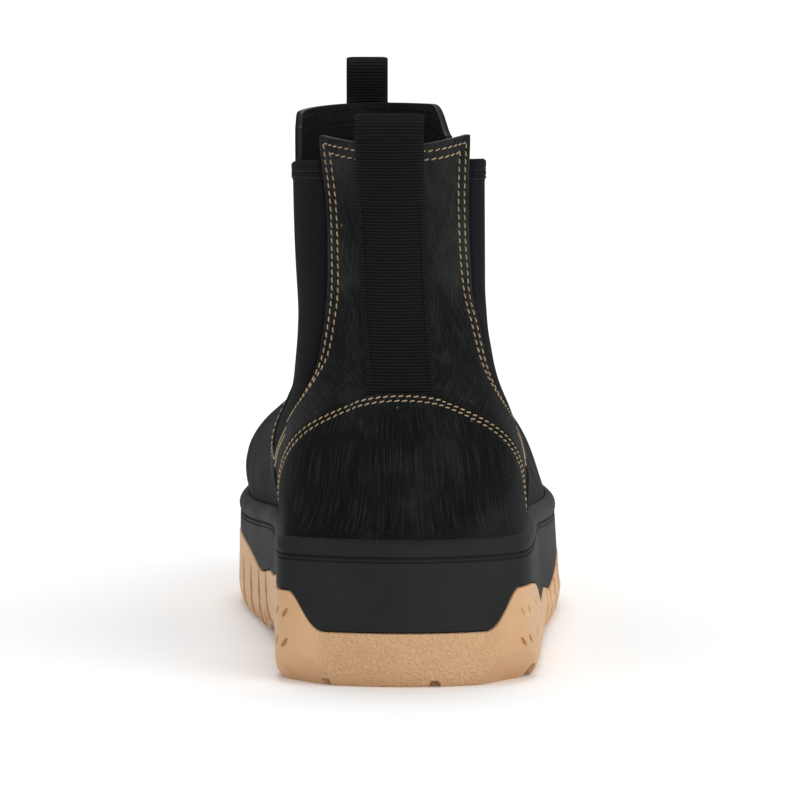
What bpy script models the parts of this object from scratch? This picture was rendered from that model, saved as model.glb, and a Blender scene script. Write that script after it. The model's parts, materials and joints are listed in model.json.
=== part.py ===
"""A right-foot ankle boot with elastic side gores on a chunky track sole, in metres, +Z up, toe towards +Y.

The origin is on the floor under the middle of the sole. The medial side of the foot is towards -X.
Every horizontal outline is one closed curve through twelve knots: the back of the heel, five stations up the
lateral side, the toe, and the same five stations back down the medial side.
"""

import math
from collections import namedtuple

import bmesh
import bpy
import numpy as np

# Sole sizes
LENGTH = 0.288
BALL_WIDTH = 0.105
HEEL_WIDTH = 0.081
HEEL_HEIGHT = 0.0455
BALL_HEIGHT = 0.0375
TOE_SPRING = 0.014
RIM_SPRING = 0.011
ARCH_RISE = 0.004

# Where the arch and the toe spring begin and the rim drops, in shares of LENGTH from the heel
ARCH_START = 0.27
ARCH_END = 0.48
SPRING_START = 0.71
SPRING_POWER = 1.8
RIM_DROP_START = 0.20
RIM_DROP_END = 0.66

# Outsole sizes
SLAB = 0.010
WRAP = 0.0036
BACK_GUM = 0.016
BEVEL_INSET = 0.003
BEVEL_HEIGHT = 0.0040
EDGE_ROUND = 0.0009
GROOVE_DEPTH = 0.0042
GROOVE_WIDTH = 0.0045
CHANNEL_HEIGHT = 0.0155
CHANNEL_WIDTH = 0.0065
CHANNEL_DEPTH = 0.0022
CHANNEL_TAPER = 0.7
NOTCH_DEPTH = 0.0034
NOTCH_FLARE = 1.5

# Midsole sizes
RIM_ROUND = 0.004
RIM_GROOVE = 0.0062
RIM_GROOVE_DEPTH = 0.0009
LEDGE = 0.0030
LIP = 0.003

# Upper sizes
SHAFT_RISE = 0.1205
SHAFT_WIDTH = 0.0595
SHAFT_DEPTH = 0.108
WALL = 0.0022
INSOLE = 0.005
INSOLE_ROUND = 0.002

# Sizes of the pieces on the upper
GORE_THICKNESS = 0.0011
GORE_SET_BACK = 0.0006
GORE_TOP_RISE = 0.112
COUNTER_PROUD = 0.0012
REAR_STRAP_WIDTH = 0.021
FRONT_STRAP_WIDTH = 0.0132
STRAP_THICKNESS = 0.0014
REAR_LOOP_RISE = 0.0094
FRONT_LOOP_RISE = 0.0150
FRONT_LOOP_TAIL = 0.0225
LOOP_BULGE = 0.0046
LOOP_STRAIGHTEN = 0.002

# Clearance between two pieces that touch on the real boot
GAP = 0.0003

# Samples of a closed curve in each span between knots, from the back of the heel to the toe
FINE_SPANS = (6, 7, 6, 6, 6, 6)
UPPER_SPANS = (3, 3, 5, 5, 5, 5)
UPPER_ROWS = 20
READER_SPANS = (6, 6, 6, 6, 6, 10)
READER_ROWS = 60
READER_REACH = 7
STRAP_SAMPLES = 27
STRAP_COLUMNS = 7
GORE_SAMPLES = 40
COUNTER_SAMPLES = 20

# Stations between back and front where a section gives its two sides
STATIONS = (0.03, 0.12, 0.38, 0.64, 0.85)

Section = namedtuple(
    "Section",
    "name back_y front_y back_rise front_rise back_x front_x "
    "corner_m rear_m waist_m ball_m fore_m corner_l rear_l waist_l ball_l fore_l",
)


def section(name, length, rises, centre, medial, lateral):
    return Section(name, *length, *rises, *centre, *medial, *lateral)


# Each row: back and front along Y, rises at back and front, x at back and front, then x at the five
# stations on the medial and on the lateral side. Along Y: shares of LENGTH from the heel. Across: shares of
# BALL_WIDTH. Rises: shares of SHAFT_RISE above the rim of the midsole.
GROUND = section(
    "ground", (0.000, 1.000), (0, 0), (0.019, -0.076),
    medial=(-0.305, -0.365, -0.400, -0.503, -0.433),
    lateral=(0.310, 0.409, 0.450, 0.506, 0.381),
)
RIM = section(
    "rim", (0.004, 0.995), (0, 0), (0.016, -0.076),
    medial=(-0.300, -0.362, -0.405, -0.500, -0.424),
    lateral=(0.290, 0.388, 0.420, 0.484, 0.367),
)
FOOT_SECTIONS = (
    section(
        "bulge", (0.007, 0.990), (0.080, 0.110), (0.014, -0.076),
        medial=(-0.250, -0.346, -0.396, -0.479, -0.405),
        lateral=(0.250, 0.356, 0.386, 0.408, 0.348),
    ),
    section(
        "toe cap", (0.009, 0.970), (0.185, 0.212), (0.012, -0.076),
        medial=(-0.235, -0.341, -0.386, -0.414, -0.350),
        lateral=(0.238, 0.350, 0.356, 0.334, 0.295),
    ),
    section(
        "toe top", (0.015, 0.924), (0.268, 0.282), (0.009, -0.076),
        medial=(-0.210, -0.324, -0.348, -0.324, -0.255),
        lateral=(0.215, 0.328, 0.318, 0.270, 0.220),
    ),
    section(
        "vamp", (0.022, 0.820), (0.343, 0.357), (0.004, -0.071),
        medial=(-0.185, -0.305, -0.320, -0.278, -0.180),
        lateral=(0.190, 0.298, 0.282, 0.236, 0.150),
    ),
    section(
        "instep", (0.029, 0.695), (0.418, 0.440), (0.000, -0.067),
        medial=(-0.165, -0.284, -0.312, -0.268, -0.168),
        lateral=(0.165, 0.270, 0.266, 0.230, 0.141),
    ),
    section(
        "throat", (0.033, 0.576), (0.502, 0.530), (-0.008, -0.067),
        medial=(-0.142, -0.254, -0.308, -0.268, -0.178),
        lateral=(0.130, 0.238, 0.260, 0.226, 0.134),
    ),
)
# On the shaft, the front is in shares of SHAFT_DEPTH from the back, and across is in shares of SHAFT_WIDTH.
SHAFT_SECTIONS = (
    section(
        "ankle", (0.035, 1.210), (0.628, 0.655), (-0.029, -0.134),
        medial=(-0.205, -0.400, -0.548, -0.515, -0.378),
        lateral=(0.150, 0.350, 0.455, 0.388, 0.224),
    ),
    section(
        "shaft", (0.036, 1.070), (0.795, 0.820), (-0.044, -0.160),
        medial=(-0.212, -0.385, -0.550, -0.548, -0.436),
        lateral=(0.135, 0.326, 0.452, 0.346, 0.186),
    ),
    section(
        "collar", (0.034, 1.000), (1.000, 1.070), (-0.055, -0.176),
        medial=(-0.220, -0.385, -0.552, -0.558, -0.462),
        lateral=(0.120, 0.312, 0.449, 0.328, 0.176),
    ),
)

# The gum edge above the ground: share of LENGTH, then its medial and lateral height in shares of HEEL_HEIGHT.
GumEdge = namedtuple("GumEdge", "share medial lateral")
GUM_EDGES = (
    GumEdge(0.00, 0.62, 0.64),
    GumEdge(0.12, 0.62, 0.64),
    GumEdge(0.26, 0.48, 0.40),
    GumEdge(0.40, 0.43, 0.27),
    GumEdge(0.52, 0.46, 0.29),
    GumEdge(0.66, 0.50, 0.40),
    GumEdge(0.80, 0.48, 0.46),
    GumEdge(1.00, 0.46, 0.46),
)
# Behind the heel the gum is low between two claws: their centre in shares of BALL_WIDTH, and where they
# start and reach full height in shares of HEEL_WIDTH to each side.
CLAW_CENTRE = 0.034
CLAW_START = 0.35
CLAW_END = 0.465
TOE_GUM_START = 0.86

# Side outlines: along Y in shares of SHAFT_DEPTH from the back of the sole, rise in shares of SHAFT_RISE.
SidePoint = namedtuple("SidePoint", "along rise")
GORE_OUTLINE = (
    SidePoint(0.225, 1.20),
    SidePoint(0.225, 0.985),
    SidePoint(0.200, 0.85),
    SidePoint(0.195, 0.68),
    SidePoint(0.182, 0.50),
    SidePoint(0.200, 0.39),
    SidePoint(0.285, 0.305),
    SidePoint(0.500, 0.215),
    SidePoint(0.700, 0.150),
    SidePoint(0.820, 0.145),
    SidePoint(0.920, 0.180),
    SidePoint(0.965, 0.270),
    SidePoint(0.950, 0.400),
    SidePoint(0.890, 0.600),
    SidePoint(0.840, 0.830),
    SidePoint(0.815, 1.20),
)
GORE_LATERAL_BELLY = 0.040
GORE_REACH = 0.12
COUNTER_OUTLINE = (
    SidePoint(-0.10, 0.367),
    SidePoint(0.070, 0.360),
    SidePoint(0.110, 0.325),
    SidePoint(0.220, 0.245),
    SidePoint(0.335, 0.175),
    SidePoint(0.430, 0.115),
    SidePoint(0.480, 0.060),
    SidePoint(0.490, 0.000),
)

# Tread grooves: where each meets the edge, in shares of LENGTH, and how far forward its middle lies. The
# notches in the heel's rear edge are across, in shares of BALL_WIDTH.
GROOVES = (0.085, 0.155, 0.225, 0.40, 0.465, 0.53, 0.595, 0.66, 0.725, 0.79, 0.855, 0.92)
CHEVRON = 0.010
REAR_NOTCHES = (-0.216, 0.101)

# The midsole's rounded shoulder: inset in shares of LEDGE and drop in shares of RIM_ROUND.
ShoulderPoint = namedtuple("ShoulderPoint", "inset drop")
SHOULDER = (
    ShoulderPoint(0.25, 0.42),
    ShoulderPoint(0.58, 0.10),
)

# One side of a loop: bulge in shares of LOOP_BULGE, climb over the collar in shares of the loop's rise.
LoopPoint = namedtuple("LoopPoint", "bulge climb")
REAR_LOOP = (
    LoopPoint(0.3, -0.80),
    LoopPoint(0.8, 0.20),
    LoopPoint(0.5, 0.75),
)
FRONT_LOOP = (
    LoopPoint(0.0, 0.22),
    LoopPoint(-0.5, 0.42),
    LoopPoint(-0.8, 0.65),
    LoopPoint(-0.4, 0.93),
)

Finish = namedtuple("Finish", "colour roughness metallic")
FINISHES = {
    "gum_rubber": Finish((0.62, 0.36, 0.17), 0.62, 0.0),
    "black_rubber": Finish((0.020, 0.020, 0.021), 0.60, 0.0),
    "black_leather": Finish((0.012, 0.012, 0.012), 0.72, 0.0),
    "black_elastic": Finish((0.010, 0.010, 0.011), 0.90, 0.0),
    "black_webbing": Finish((0.008, 0.008, 0.009), 0.85, 0.0),
    "grey_lining": Finish((0.035, 0.035, 0.037), 0.88, 0.0),
}


def smooth_step(value):
    """0 below 0, 1 above 1, and an even S between."""
    held = np.clip(value, 0.0, 1.0)
    return held * held * (3.0 - 2.0 * held)


def blend(start, end, share):
    return start + (end - start) * share


def share_of(y):
    """Share of the sole's length at y, from 0 at the heel to 1 at the toe."""
    return np.asarray(y) / LENGTH + 0.5


def spring(y):
    """How far the toe has turned up at y, from 0 at the ball to 1 at the tip."""
    return np.clip((share_of(y) - SPRING_START) / (1.0 - SPRING_START), 0.0, 1.2) ** SPRING_POWER


def ground_height(y):
    """Underside of the tread: flat under heel and forefoot, raised at the arch and the toe."""
    arch = np.clip((share_of(y) - ARCH_START) / (ARCH_END - ARCH_START), 0.0, 1.0)
    return ARCH_RISE * np.sin(math.pi * arch) ** 2 + TOE_SPRING * spring(y)


def rim_height(y):
    """Top of the midsole: high under the heel, lower at the ball, turned up at the toe."""
    drop = smooth_step((share_of(y) - RIM_DROP_START) / (RIM_DROP_END - RIM_DROP_START))
    return blend(HEEL_HEIGHT, BALL_HEIGHT, drop) + RIM_SPRING * spring(y)


def closed_spline(knots, spans):
    """Samples of the closed cubic B-spline through the knots, with the same spans on both sides."""
    count = len(knots)
    same = np.eye(count)
    matrix = (4.0 * same + np.roll(same, 1, axis=0) + np.roll(same, -1, axis=0)) / 6.0
    control = np.linalg.solve(matrix, knots)
    points = []
    for i, samples in enumerate(tuple(spans) + tuple(reversed(spans))):
        around = control[[(i - 1) % count, i, (i + 1) % count, (i + 2) % count]]
        for u in np.arange(samples) / samples:
            ahead = 3 * u**3 - 6 * u**2 + 4
            behind = -3 * u**3 + 3 * u**2 + 3 * u + 1
            weights = np.array([(1 - u) ** 3, ahead, behind, u**3])
            points.append(weights @ around / 6.0)
    return np.array(points)


def open_spline(at_knots, values, at):
    """Natural cubic spline through rows of values given at increasing parameters."""
    count = len(at_knots)
    steps = np.diff(at_knots)
    flat = values.reshape(count, -1)
    slopes = np.diff(flat, axis=0) / steps[:, None]
    matrix = np.eye(count)
    right = np.zeros_like(flat)
    for i in range(1, count - 1):
        matrix[i, i - 1 : i + 2] = steps[i - 1], 2 * (steps[i - 1] + steps[i]), steps[i]
        right[i] = 6 * (slopes[i] - slopes[i - 1])
    bends = np.linalg.solve(matrix, right)
    result = np.empty((len(at), flat.shape[1]))
    for row, u in enumerate(at):
        i = min(max(np.searchsorted(at_knots, u) - 1, 0), count - 2)
        left, ahead, step = at_knots[i + 1] - u, u - at_knots[i], steps[i]
        result[row] = (
            (bends[i] * left**3 + bends[i + 1] * ahead**3) / (6 * step)
            + (flat[i] / step - bends[i] * step / 6) * left
            + (flat[i + 1] / step - bends[i + 1] * step / 6) * ahead
        )
    return result.reshape((len(at),) + values.shape[1:])


def outline(section, spans, on_shaft=False):
    """Closed plan outline of a section, as x and y of each sample."""
    width = SHAFT_WIDTH if on_shaft else BALL_WIDTH
    back = (section.back_y - 0.5) * LENGTH
    front = (section.front_y - 0.5) * LENGTH
    if on_shaft:
        front = back + section.front_y * SHAFT_DEPTH
    lateral = (section.corner_l, section.rear_l, section.waist_l, section.ball_l, section.fore_l)
    medial = (section.corner_m, section.rear_m, section.waist_m, section.ball_m, section.fore_m)
    sides = [(side * width, blend(back, front, at)) for side, at in zip(lateral, STATIONS)]
    returns = [(side * width, blend(back, front, at)) for side, at in zip(medial, STATIONS)]
    heel, toe = (section.back_x * width, back), (section.front_x * width, front)
    return closed_spline(np.array([heel, *sides, toe, *reversed(returns)]), spans)


def inset(curve, distance):
    """The closed curve moved inwards in plan by the distance."""
    along = np.roll(curve, -1, axis=0) - np.roll(curve, 1, axis=0)
    along /= np.linalg.norm(along, axis=1)[:, None]
    return curve + distance * np.column_stack((-along[:, 1], along[:, 0]))


def raised(curve, heights):
    """A plan curve with a height at each of its points."""
    return np.column_stack((curve, np.broadcast_to(heights, len(curve))))


def section_ring(section, spans, on_shaft=False):
    """A section's outline in space, its rise measured from the top of the midsole."""
    curve = outline(section, spans, on_shaft)
    low, high = curve[:, 1].min(), curve[:, 1].max()
    rise = blend(section.back_rise, section.front_rise, (curve[:, 1] - low) / (high - low))
    return raised(curve, rim_height(curve[:, 1]) + rise * SHAFT_RISE)


def upper_surface(offset, spans=UPPER_SPANS, rows=UPPER_ROWS):
    """Rings of the upper from its foot in the midsole to the collar, moved out along the normal by offset."""
    feather = inset(outline(RIM, spans), LEDGE)
    keys = [raised(feather, rim_height(feather[:, 1]) + GAP)]
    keys += [section_ring(section, spans) for section in FOOT_SECTIONS]
    keys += [section_ring(section, spans, on_shaft=True) for section in SHAFT_SECTIONS]
    keys = np.array(keys)
    steps = np.linalg.norm(np.diff(keys, axis=0), axis=2).mean(axis=1)
    parameters = np.concatenate(([0.0], np.cumsum(steps)))
    grid = open_spline(parameters, keys, np.linspace(0.0, parameters[-1], rows))
    around = np.roll(grid, -1, axis=1) - np.roll(grid, 1, axis=1)
    upwards = np.gradient(grid, axis=0)
    normals = np.cross(around, upwards)
    normals[[0, -1], :, 2] = 0.0
    normals /= np.linalg.norm(normals, axis=2)[:, :, None]
    wall = grid + offset * normals
    foot = wall[0] - np.array((0.0, 0.0, LIP))
    return np.concatenate((foot[None], wall))


def sole_ring(share, distance, heights):
    """Ring round the sole's side: share 0 follows the ground outline, 1 the rim, inset by the distance."""
    curve = blend(outline(GROUND, FINE_SPANS), outline(RIM, FINE_SPANS), np.reshape(share, (-1, 1)))
    return raised(inset(curve, distance), heights)


def gum_height(curve):
    """Height of the gum's wavy edge: claws at the heel's corners, low behind the heel and at the waist."""
    shares = share_of(curve[:, 1])
    at = [edge.share for edge in GUM_EDGES]
    medial = np.interp(shares, at, [edge.medial for edge in GUM_EDGES])
    lateral = np.interp(shares, at, [edge.lateral for edge in GUM_EDGES])
    side = np.where(curve[:, 0] < GROUND.back_x * BALL_WIDTH, medial, lateral) * HEEL_HEIGHT
    corner = np.abs(curve[:, 0] - CLAW_CENTRE * BALL_WIDTH) / HEEL_WIDTH
    climb = smooth_step((corner - CLAW_START) / (CLAW_END - CLAW_START))
    claw = np.where(shares < STATIONS[1], climb, 1.0)
    over_toe = smooth_step((shares - TOE_GUM_START) / (1.0 - TOE_GUM_START))
    side = blend(side, GUM_EDGES[-1].medial * HEEL_HEIGHT, over_toe)
    return blend(BACK_GUM, side, claw) + ground_height(curve[:, 1])


def strip_faces(left, right):
    """Faces between two runs of vertex numbers, as triangles where the runs share an end."""
    faces = []
    for a, b, c, d in zip(left, left[1:], right[1:], right):
        face = [a, b, c, d]
        faces.append([v for i, v in enumerate(face) if v not in face[:i]])
    return faces


def loop_faces(first, second, count):
    """Quads between two rings that start at these vertex numbers."""
    following = [(i + 1) % count for i in range(count)]
    return [(first + i, first + j, second + j, second + i) for i, j in enumerate(following)]


def new_object(name, points, faces, finish):
    """Adds a mesh object with its own material, its faces turned outwards."""
    mesh = bpy.data.meshes.new(name)
    mesh.from_pydata([tuple(map(float, point)) for point in points], [], faces)
    mesh.validate()
    if signed_volume(mesh) < 0:
        mesh.flip_normals()
    obj = bpy.data.objects.new(name, mesh)
    bpy.context.scene.collection.objects.link(obj)
    if finish:
        mesh.materials.append(material(name, FINISHES[finish]))
        mesh.shade_smooth()
        mesh.set_sharp_from_angle(angle=math.radians(35))
    return obj


def signed_volume(mesh):
    """Six times the volume that the mesh closes, negative if it is inside out."""
    mesh.calc_loop_triangles()
    points = np.array([vertex.co for vertex in mesh.vertices])
    corners = points[[tuple(face.vertices) for face in mesh.loop_triangles]]
    return float(np.einsum("ij,ij->i", corners[:, 0], np.cross(corners[:, 1], corners[:, 2])).sum())


def material(name, finish):
    made = bpy.data.materials.new(name)
    made.use_nodes = True
    shader = made.node_tree.nodes["Principled BSDF"]
    shader.inputs["Base Color"].default_value = (*finish.colour, 1.0)
    shader.inputs["Roughness"].default_value = finish.roughness
    shader.inputs["Metallic"].default_value = finish.metallic
    return made


def ring_solid(name, rings, partners, finish):
    """Closes a stack of rings with a strip across each end, each sample joined to its partner."""
    count = len(rings[0])
    faces = []
    for i in range(len(rings) - 1):
        faces += loop_faces(i * count, (i + 1) * count, count)
    left = list(range(count // 2 + 1))
    right = [partners(i) % count for i in left]
    top = (len(rings) - 1) * count
    faces += [face[::-1] for face in strip_faces(left, right)]
    faces += strip_faces([top + i for i in left], [top + i for i in right])
    return new_object(name, np.concatenate(rings), faces, finish)


def tube_solid(name, rings, finish):
    """Closes a stack of rings into a wall by joining its last ring to its first."""
    count = len(rings[0])
    faces = []
    for i in range(len(rings)):
        faces += loop_faces(i * count, (i + 1) % len(rings) * count, count)
    return new_object(name, np.concatenate(rings), faces, finish)


def shell(name, outer, inner, finish):
    """The wall between two surfaces of the upper."""
    return tube_solid(name, [*upper_surface(outer), *reversed(upper_surface(inner))], finish)


def boolean(target, operation, cutter):
    modifier = target.modifiers.new(cutter.name, "BOOLEAN")
    modifier.operation = operation
    modifier.solver = "EXACT"
    modifier.object = cutter
    cutter.hide_render = True
    cutter.display_type = "WIRE"


def side_prism(name, outline_yz, x_from, x_to):
    """A prism across X with this side outline, used to cut or to keep."""
    count = len(outline_yz)
    points = [(x, y, z) for x in (x_from, x_to) for y, z in outline_yz]
    faces = [tuple(range(count))[::-1], tuple(range(count, 2 * count))]
    faces += loop_faces(0, count, count)
    return new_object(name, points, faces, None)


def side_curve(points, samples, belly=0.0):
    """Smooth side outline through side points, in metres, its middle heights moved forward by the belly."""
    along = np.array([p.along + belly * math.sin(math.pi * min(p.rise, 1.0)) for p in points])
    rise = np.array([p.rise for p in points])
    placed = np.column_stack((along * SHAFT_DEPTH - LENGTH / 2, HEEL_HEIGHT + rise * SHAFT_RISE))
    steps = np.linalg.norm(np.diff(placed, axis=0), axis=1)
    parameters = np.concatenate(([0.0], np.cumsum(steps)))
    return open_spline(parameters, placed, np.linspace(0.0, parameters[-1], samples))


def eased(points, samples):
    """The path resampled evenly, its corners rounded without leaving the run between its points."""
    steps = np.concatenate(([0.0], np.cumsum(np.linalg.norm(np.diff(points, axis=0), axis=1))))
    at = np.linspace(0.0, steps[-1], samples)
    path = np.column_stack([np.interp(at, steps, column) for column in points.T])
    for _ in range(2):
        path[1:-1] = path[:-2] * 0.25 + path[1:-1] * 0.5 + path[2:] * 0.25
    return path


def shrunk(points, distance):
    """An open side outline moved towards its own inside, which lies to the left of its run."""
    along = np.gradient(points, axis=0)
    along /= np.linalg.norm(along, axis=1)[:, None]
    return points + distance * np.column_stack((-along[:, 1], along[:, 0]))


def make_outsole():
    """The gum tread with its wavy rim, chevron grooves, side channels and heel notches."""
    ground = outline(GROUND, FINE_SPANS)
    low = ground_height(ground[:, 1])
    high = rim_height(ground[:, 1])
    edge = gum_height(ground)
    side = (edge - low) / (high - low)
    wrapped = sole_ring(side, WRAP, edge)
    floor = ground_height(wrapped[:, 1]) + SLAB
    rings = [
        sole_ring(0.0, BEVEL_INSET, ground_height(inset(ground, BEVEL_INSET)[:, 1])),
        sole_ring(0.0, EDGE_ROUND, low + BEVEL_HEIGHT),
        sole_ring(0.0, 0.0, low + 2 * BEVEL_HEIGHT),
        sole_ring(side, 0.0, edge - EDGE_ROUND),
        sole_ring(side, EDGE_ROUND, edge),
        wrapped,
        raised(wrapped[:, :2], floor),
    ]
    outsole = ring_solid("outsole", rings, lambda i: -i, "gum_rubber")
    boolean(outsole, "DIFFERENCE", make_grooves(ground))
    boolean(outsole, "DIFFERENCE", make_channels(ground))
    boolean(outsole, "DIFFERENCE", make_notches(ground))
    return outsole


def edge_point(ground, share, lateral):
    """Point and outward direction on one side of the ground outline at a share of its length."""
    half = len(ground) // 2
    run = np.arange(half + 1) if lateral else np.arange(len(ground), half - 1, -1) % len(ground)
    shares = share_of(ground[run, 1])
    outward = (ground - inset(ground, 1.0))[run]
    point = [np.interp(share, shares, ground[run, i]) for i in (0, 1)]
    direction = np.array([np.interp(share, shares, outward[:, i]) for i in (0, 1)])
    return np.array(point), direction / np.linalg.norm(direction)


def prisms(name, outlines):
    """One mesh of separate upright prisms, each a plan outline with a top height at each of its points."""
    points, faces = [], []
    for plan, tops in outlines:
        start, count = len(points), len(plan)
        points += [(x, y, -GROOVE_DEPTH) for x, y in plan]
        points += [(x, y, z) for (x, y), z in zip(plan, tops)]
        faces += loop_faces(start, start + count, count)
        half = range(count // 2)
        for end in (start, start + count):
            faces += strip_faces([end + i for i in half], [end + count - 1 - i for i in half])
    cutter = new_object(name, points, faces, None)
    orient_outwards(cutter.data)
    return cutter


def orient_outwards(mesh):
    """Turns each separate body of the mesh to face out."""
    work = bmesh.new()
    work.from_mesh(mesh)
    bmesh.ops.recalc_face_normals(work, faces=work.faces)
    work.to_mesh(mesh)
    work.free()


def make_grooves(ground):
    """Chevron grooves across the tread, following its underside."""
    outlines = []
    for share in GROOVES:
        lateral, out_l = edge_point(ground, share, True)
        medial, out_m = edge_point(ground, share, False)
        middle = (lateral + medial) / 2 + np.array((0.0, CHEVRON))
        run = np.array([lateral + out_l * WRAP, middle, medial + out_m * WRAP])
        half = np.array((0.0, GROOVE_WIDTH / 2))
        plan = np.concatenate((run + half, (run - half)[::-1]))
        outlines.append((plan, ground_height(plan[:, 1]) + GROOVE_DEPTH))
    return prisms("groove_cutter", outlines)


def make_channels(ground):
    """Upright channels in the side wall at the end of each groove in front of the arch."""
    outlines = []
    for share in [share for share in GROOVES if share > ARCH_START]:
        for lateral in (True, False):
            point, out = edge_point(ground, share, lateral)
            across = np.array((-out[1], out[0])) * CHANNEL_WIDTH / 2
            inner, outer = point - out * CHANNEL_DEPTH, point + out * WRAP
            narrow = across * CHANNEL_TAPER
            plan = np.array([inner - narrow, inner + narrow, outer + across, outer - across])
            top = ground_height(point[1]) + CHANNEL_HEIGHT
            low = top - CHANNEL_DEPTH
            outlines.append((plan, np.array((low, low, top, top))))
    return prisms("channel_cutter", outlines)


def make_notches(ground):
    """Two notches in the rear edge of the heel, running in to the first groove."""
    outlines = []
    back = ground[:, 1].min()
    reach = (GROOVES[0] - 0.5) * LENGTH - GROOVE_WIDTH
    half = GROOVE_WIDTH / 2
    wide = half * NOTCH_FLARE
    for share in REAR_NOTCHES:
        x = share * BALL_WIDTH
        inner = [(x - half, reach), (x + half, reach)]
        outer = [(x + wide, back - WRAP), (x - wide, back - WRAP)]
        outlines.append((np.array(inner + outer), np.full(4, NOTCH_DEPTH)))
    return prisms("notch_cutter", outlines)


def make_midsole():
    """The sole's upper part: it sits in the gum's rim and carries the upper on a shallow ledge."""
    ground = outline(GROUND, FINE_SPANS)
    low = ground_height(ground[:, 1])
    high = rim_height(ground[:, 1])
    edge = gum_height(ground)
    seat = WRAP + GAP

    def above_gum(distance, heights):
        return sole_ring((heights - low) / (high - low), distance, heights)

    def below_rim(distance, drop):
        curve = sole_ring(1.0 - drop / (high - low), distance, 0.0)[:, :2]
        return raised(curve, rim_height(curve[:, 1]) - drop)

    clear = edge + 2 * GAP
    base = above_gum(seat, clear)
    rings = [
        raised(base[:, :2], ground_height(base[:, 1]) + SLAB + GAP),
        base,
        above_gum(GAP, clear),
        above_gum(0.0, edge + RIM_ROUND / 2),
        below_rim(0.0, RIM_GROOVE + RIM_GROOVE_DEPTH),
        below_rim(RIM_GROOVE_DEPTH, RIM_GROOVE + RIM_GROOVE_DEPTH / 2),
        below_rim(RIM_GROOVE_DEPTH, RIM_GROOVE - RIM_GROOVE_DEPTH / 2),
        below_rim(0.0, RIM_GROOVE - RIM_GROOVE_DEPTH),
        below_rim(0.0, RIM_ROUND),
        *[below_rim(LEDGE * point.inset, RIM_ROUND * point.drop) for point in SHOULDER],
        below_rim(LEDGE - GAP, 0.0),
        below_rim(LEDGE - GAP, LIP),
    ]
    return ring_solid("midsole", rings, lambda i: -i, "black_rubber")


def make_insole():
    """Footbed that lies on the midsole and fits the inner face of the wall."""
    foot, shoulder = upper_surface(-WALL - GAP)[:2]
    top = raised(inset(shoulder[:, :2], INSOLE_ROUND), foot[:, 2] + INSOLE)
    rings = [foot, shoulder, top]
    return ring_solid("insole", rings, lambda i: -i, "grey_lining")


def gore_curve(side):
    """Side outline of the gore, whose lateral one bellies forward."""
    return side_curve(GORE_OUTLINE, GORE_SAMPLES, GORE_LATERAL_BELLY if side > 0 else 0.0)


def one_side(name, outline_yz, side):
    """A prism with this side outline that reaches only through the medial or the lateral wall."""
    return side_prism(name, outline_yz, side * SHAFT_WIDTH * GORE_REACH, side * BALL_WIDTH)


def make_upper():
    """The leather wall, open at the collar and underneath, with a slot for each gore."""
    upper = shell("upper", 0.0, -WALL, "black_leather")
    boolean(upper, "DIFFERENCE", one_side("slot_cutter_medial", gore_curve(-1), -1))
    boolean(upper, "DIFFERENCE", one_side("slot_cutter_lateral", gore_curve(1), 1))
    return upper


def make_gore(name, side):
    """Elastic panel that fills a slot, set back from the face of the leather."""
    gore = shell(name, -GORE_SET_BACK, -GORE_SET_BACK - GORE_THICKNESS, "black_elastic")
    keep = shrunk(gore_curve(side), GAP)
    top = HEEL_HEIGHT + GORE_TOP_RISE
    below = keep[keep[:, 1] < top]
    middle = len(keep) // 2
    rear, front = keep[middle::-1], keep[middle:]
    ends = [(np.interp(top, edge[:, 1], edge[:, 0]), top) for edge in (rear, front)]
    boolean(gore, "INTERSECT", one_side("keep_" + name, [ends[0], *below, ends[1]], side))
    return gore


def make_counter():
    """Heel counter that stands proud of the upper round the back of the heel."""
    counter = shell("heel_counter", GAP + COUNTER_PROUD, GAP, "black_leather")
    edge = side_curve(COUNTER_OUTLINE, COUNTER_SAMPLES)
    base = HEEL_HEIGHT + GAP
    above = edge[edge[:, 1] > base + GAP]
    closed = [(edge[0, 0], base), *above, (above[-1, 0], base)]
    boolean(counter, "INTERSECT", side_prism("keep_counter", closed, -BALL_WIDTH, BALL_WIDTH))
    return counter


def surface_reader(front):
    """Returns a reader of y on the upper's back or front at any x and z, and the middle line of that face."""
    grid = upper_surface(0.0, READER_SPANS, READER_ROWS)
    centre = grid.shape[1] // 2 if front else 0
    run = (centre + np.arange(-READER_REACH, READER_REACH + 1)) % grid.shape[1]
    face = grid[READER_ROWS // 6 :, run]

    def read(x, z):
        order = np.argsort(face[-1, :, 0])
        lines = np.array([[np.interp(x, row[order, 0], row[order, i]) for i in (1, 2)] for row in face])
        return float(np.interp(z, lines[:, 1], lines[:, 0]))

    return read, face[:, READER_REACH]


def make_strap(name, front, width, path, collar):
    """A band of webbing that follows the leather across its width, and runs straight across in its loop.

    The path gives the middle of the band as distance out from the leather's face and height. The band turns
    straight across just above the collar.
    """
    read, centre = surface_reader(front)
    sign = 1.0 if front else -1.0
    path = eased(np.array(path), STRAP_SAMPLES)
    along = np.gradient(path, axis=0)
    along /= np.linalg.norm(along, axis=1)[:, None]
    across = np.column_stack((along[:, 1], -along[:, 0])) * STRAP_THICKNESS / 2
    section = np.concatenate((path + across, (path - across)[::-1]))
    step = width / (STRAP_COLUMNS - 1)
    rings = []
    for place in np.linspace(-width / 2, width / 2, STRAP_COLUMNS):
        ring = []
        for out, z in section:
            x = np.interp(z, centre[:, 2], centre[:, 0]) + place
            flat = smooth_step((z - collar) / LOOP_STRAIGHTEN)
            slope = (1.0 - flat) * (read(x + step, z) - read(x - step, z)) / (2 * step)
            face = blend(read(x, z), read(x - place, z), flat)
            ring.append((x, face + sign * out * math.hypot(1.0, slope), z))
        rings.append(np.array(ring))
    count = len(section)
    return ring_solid(name, rings, lambda i: count - 1 - i, "black_webbing")


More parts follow.
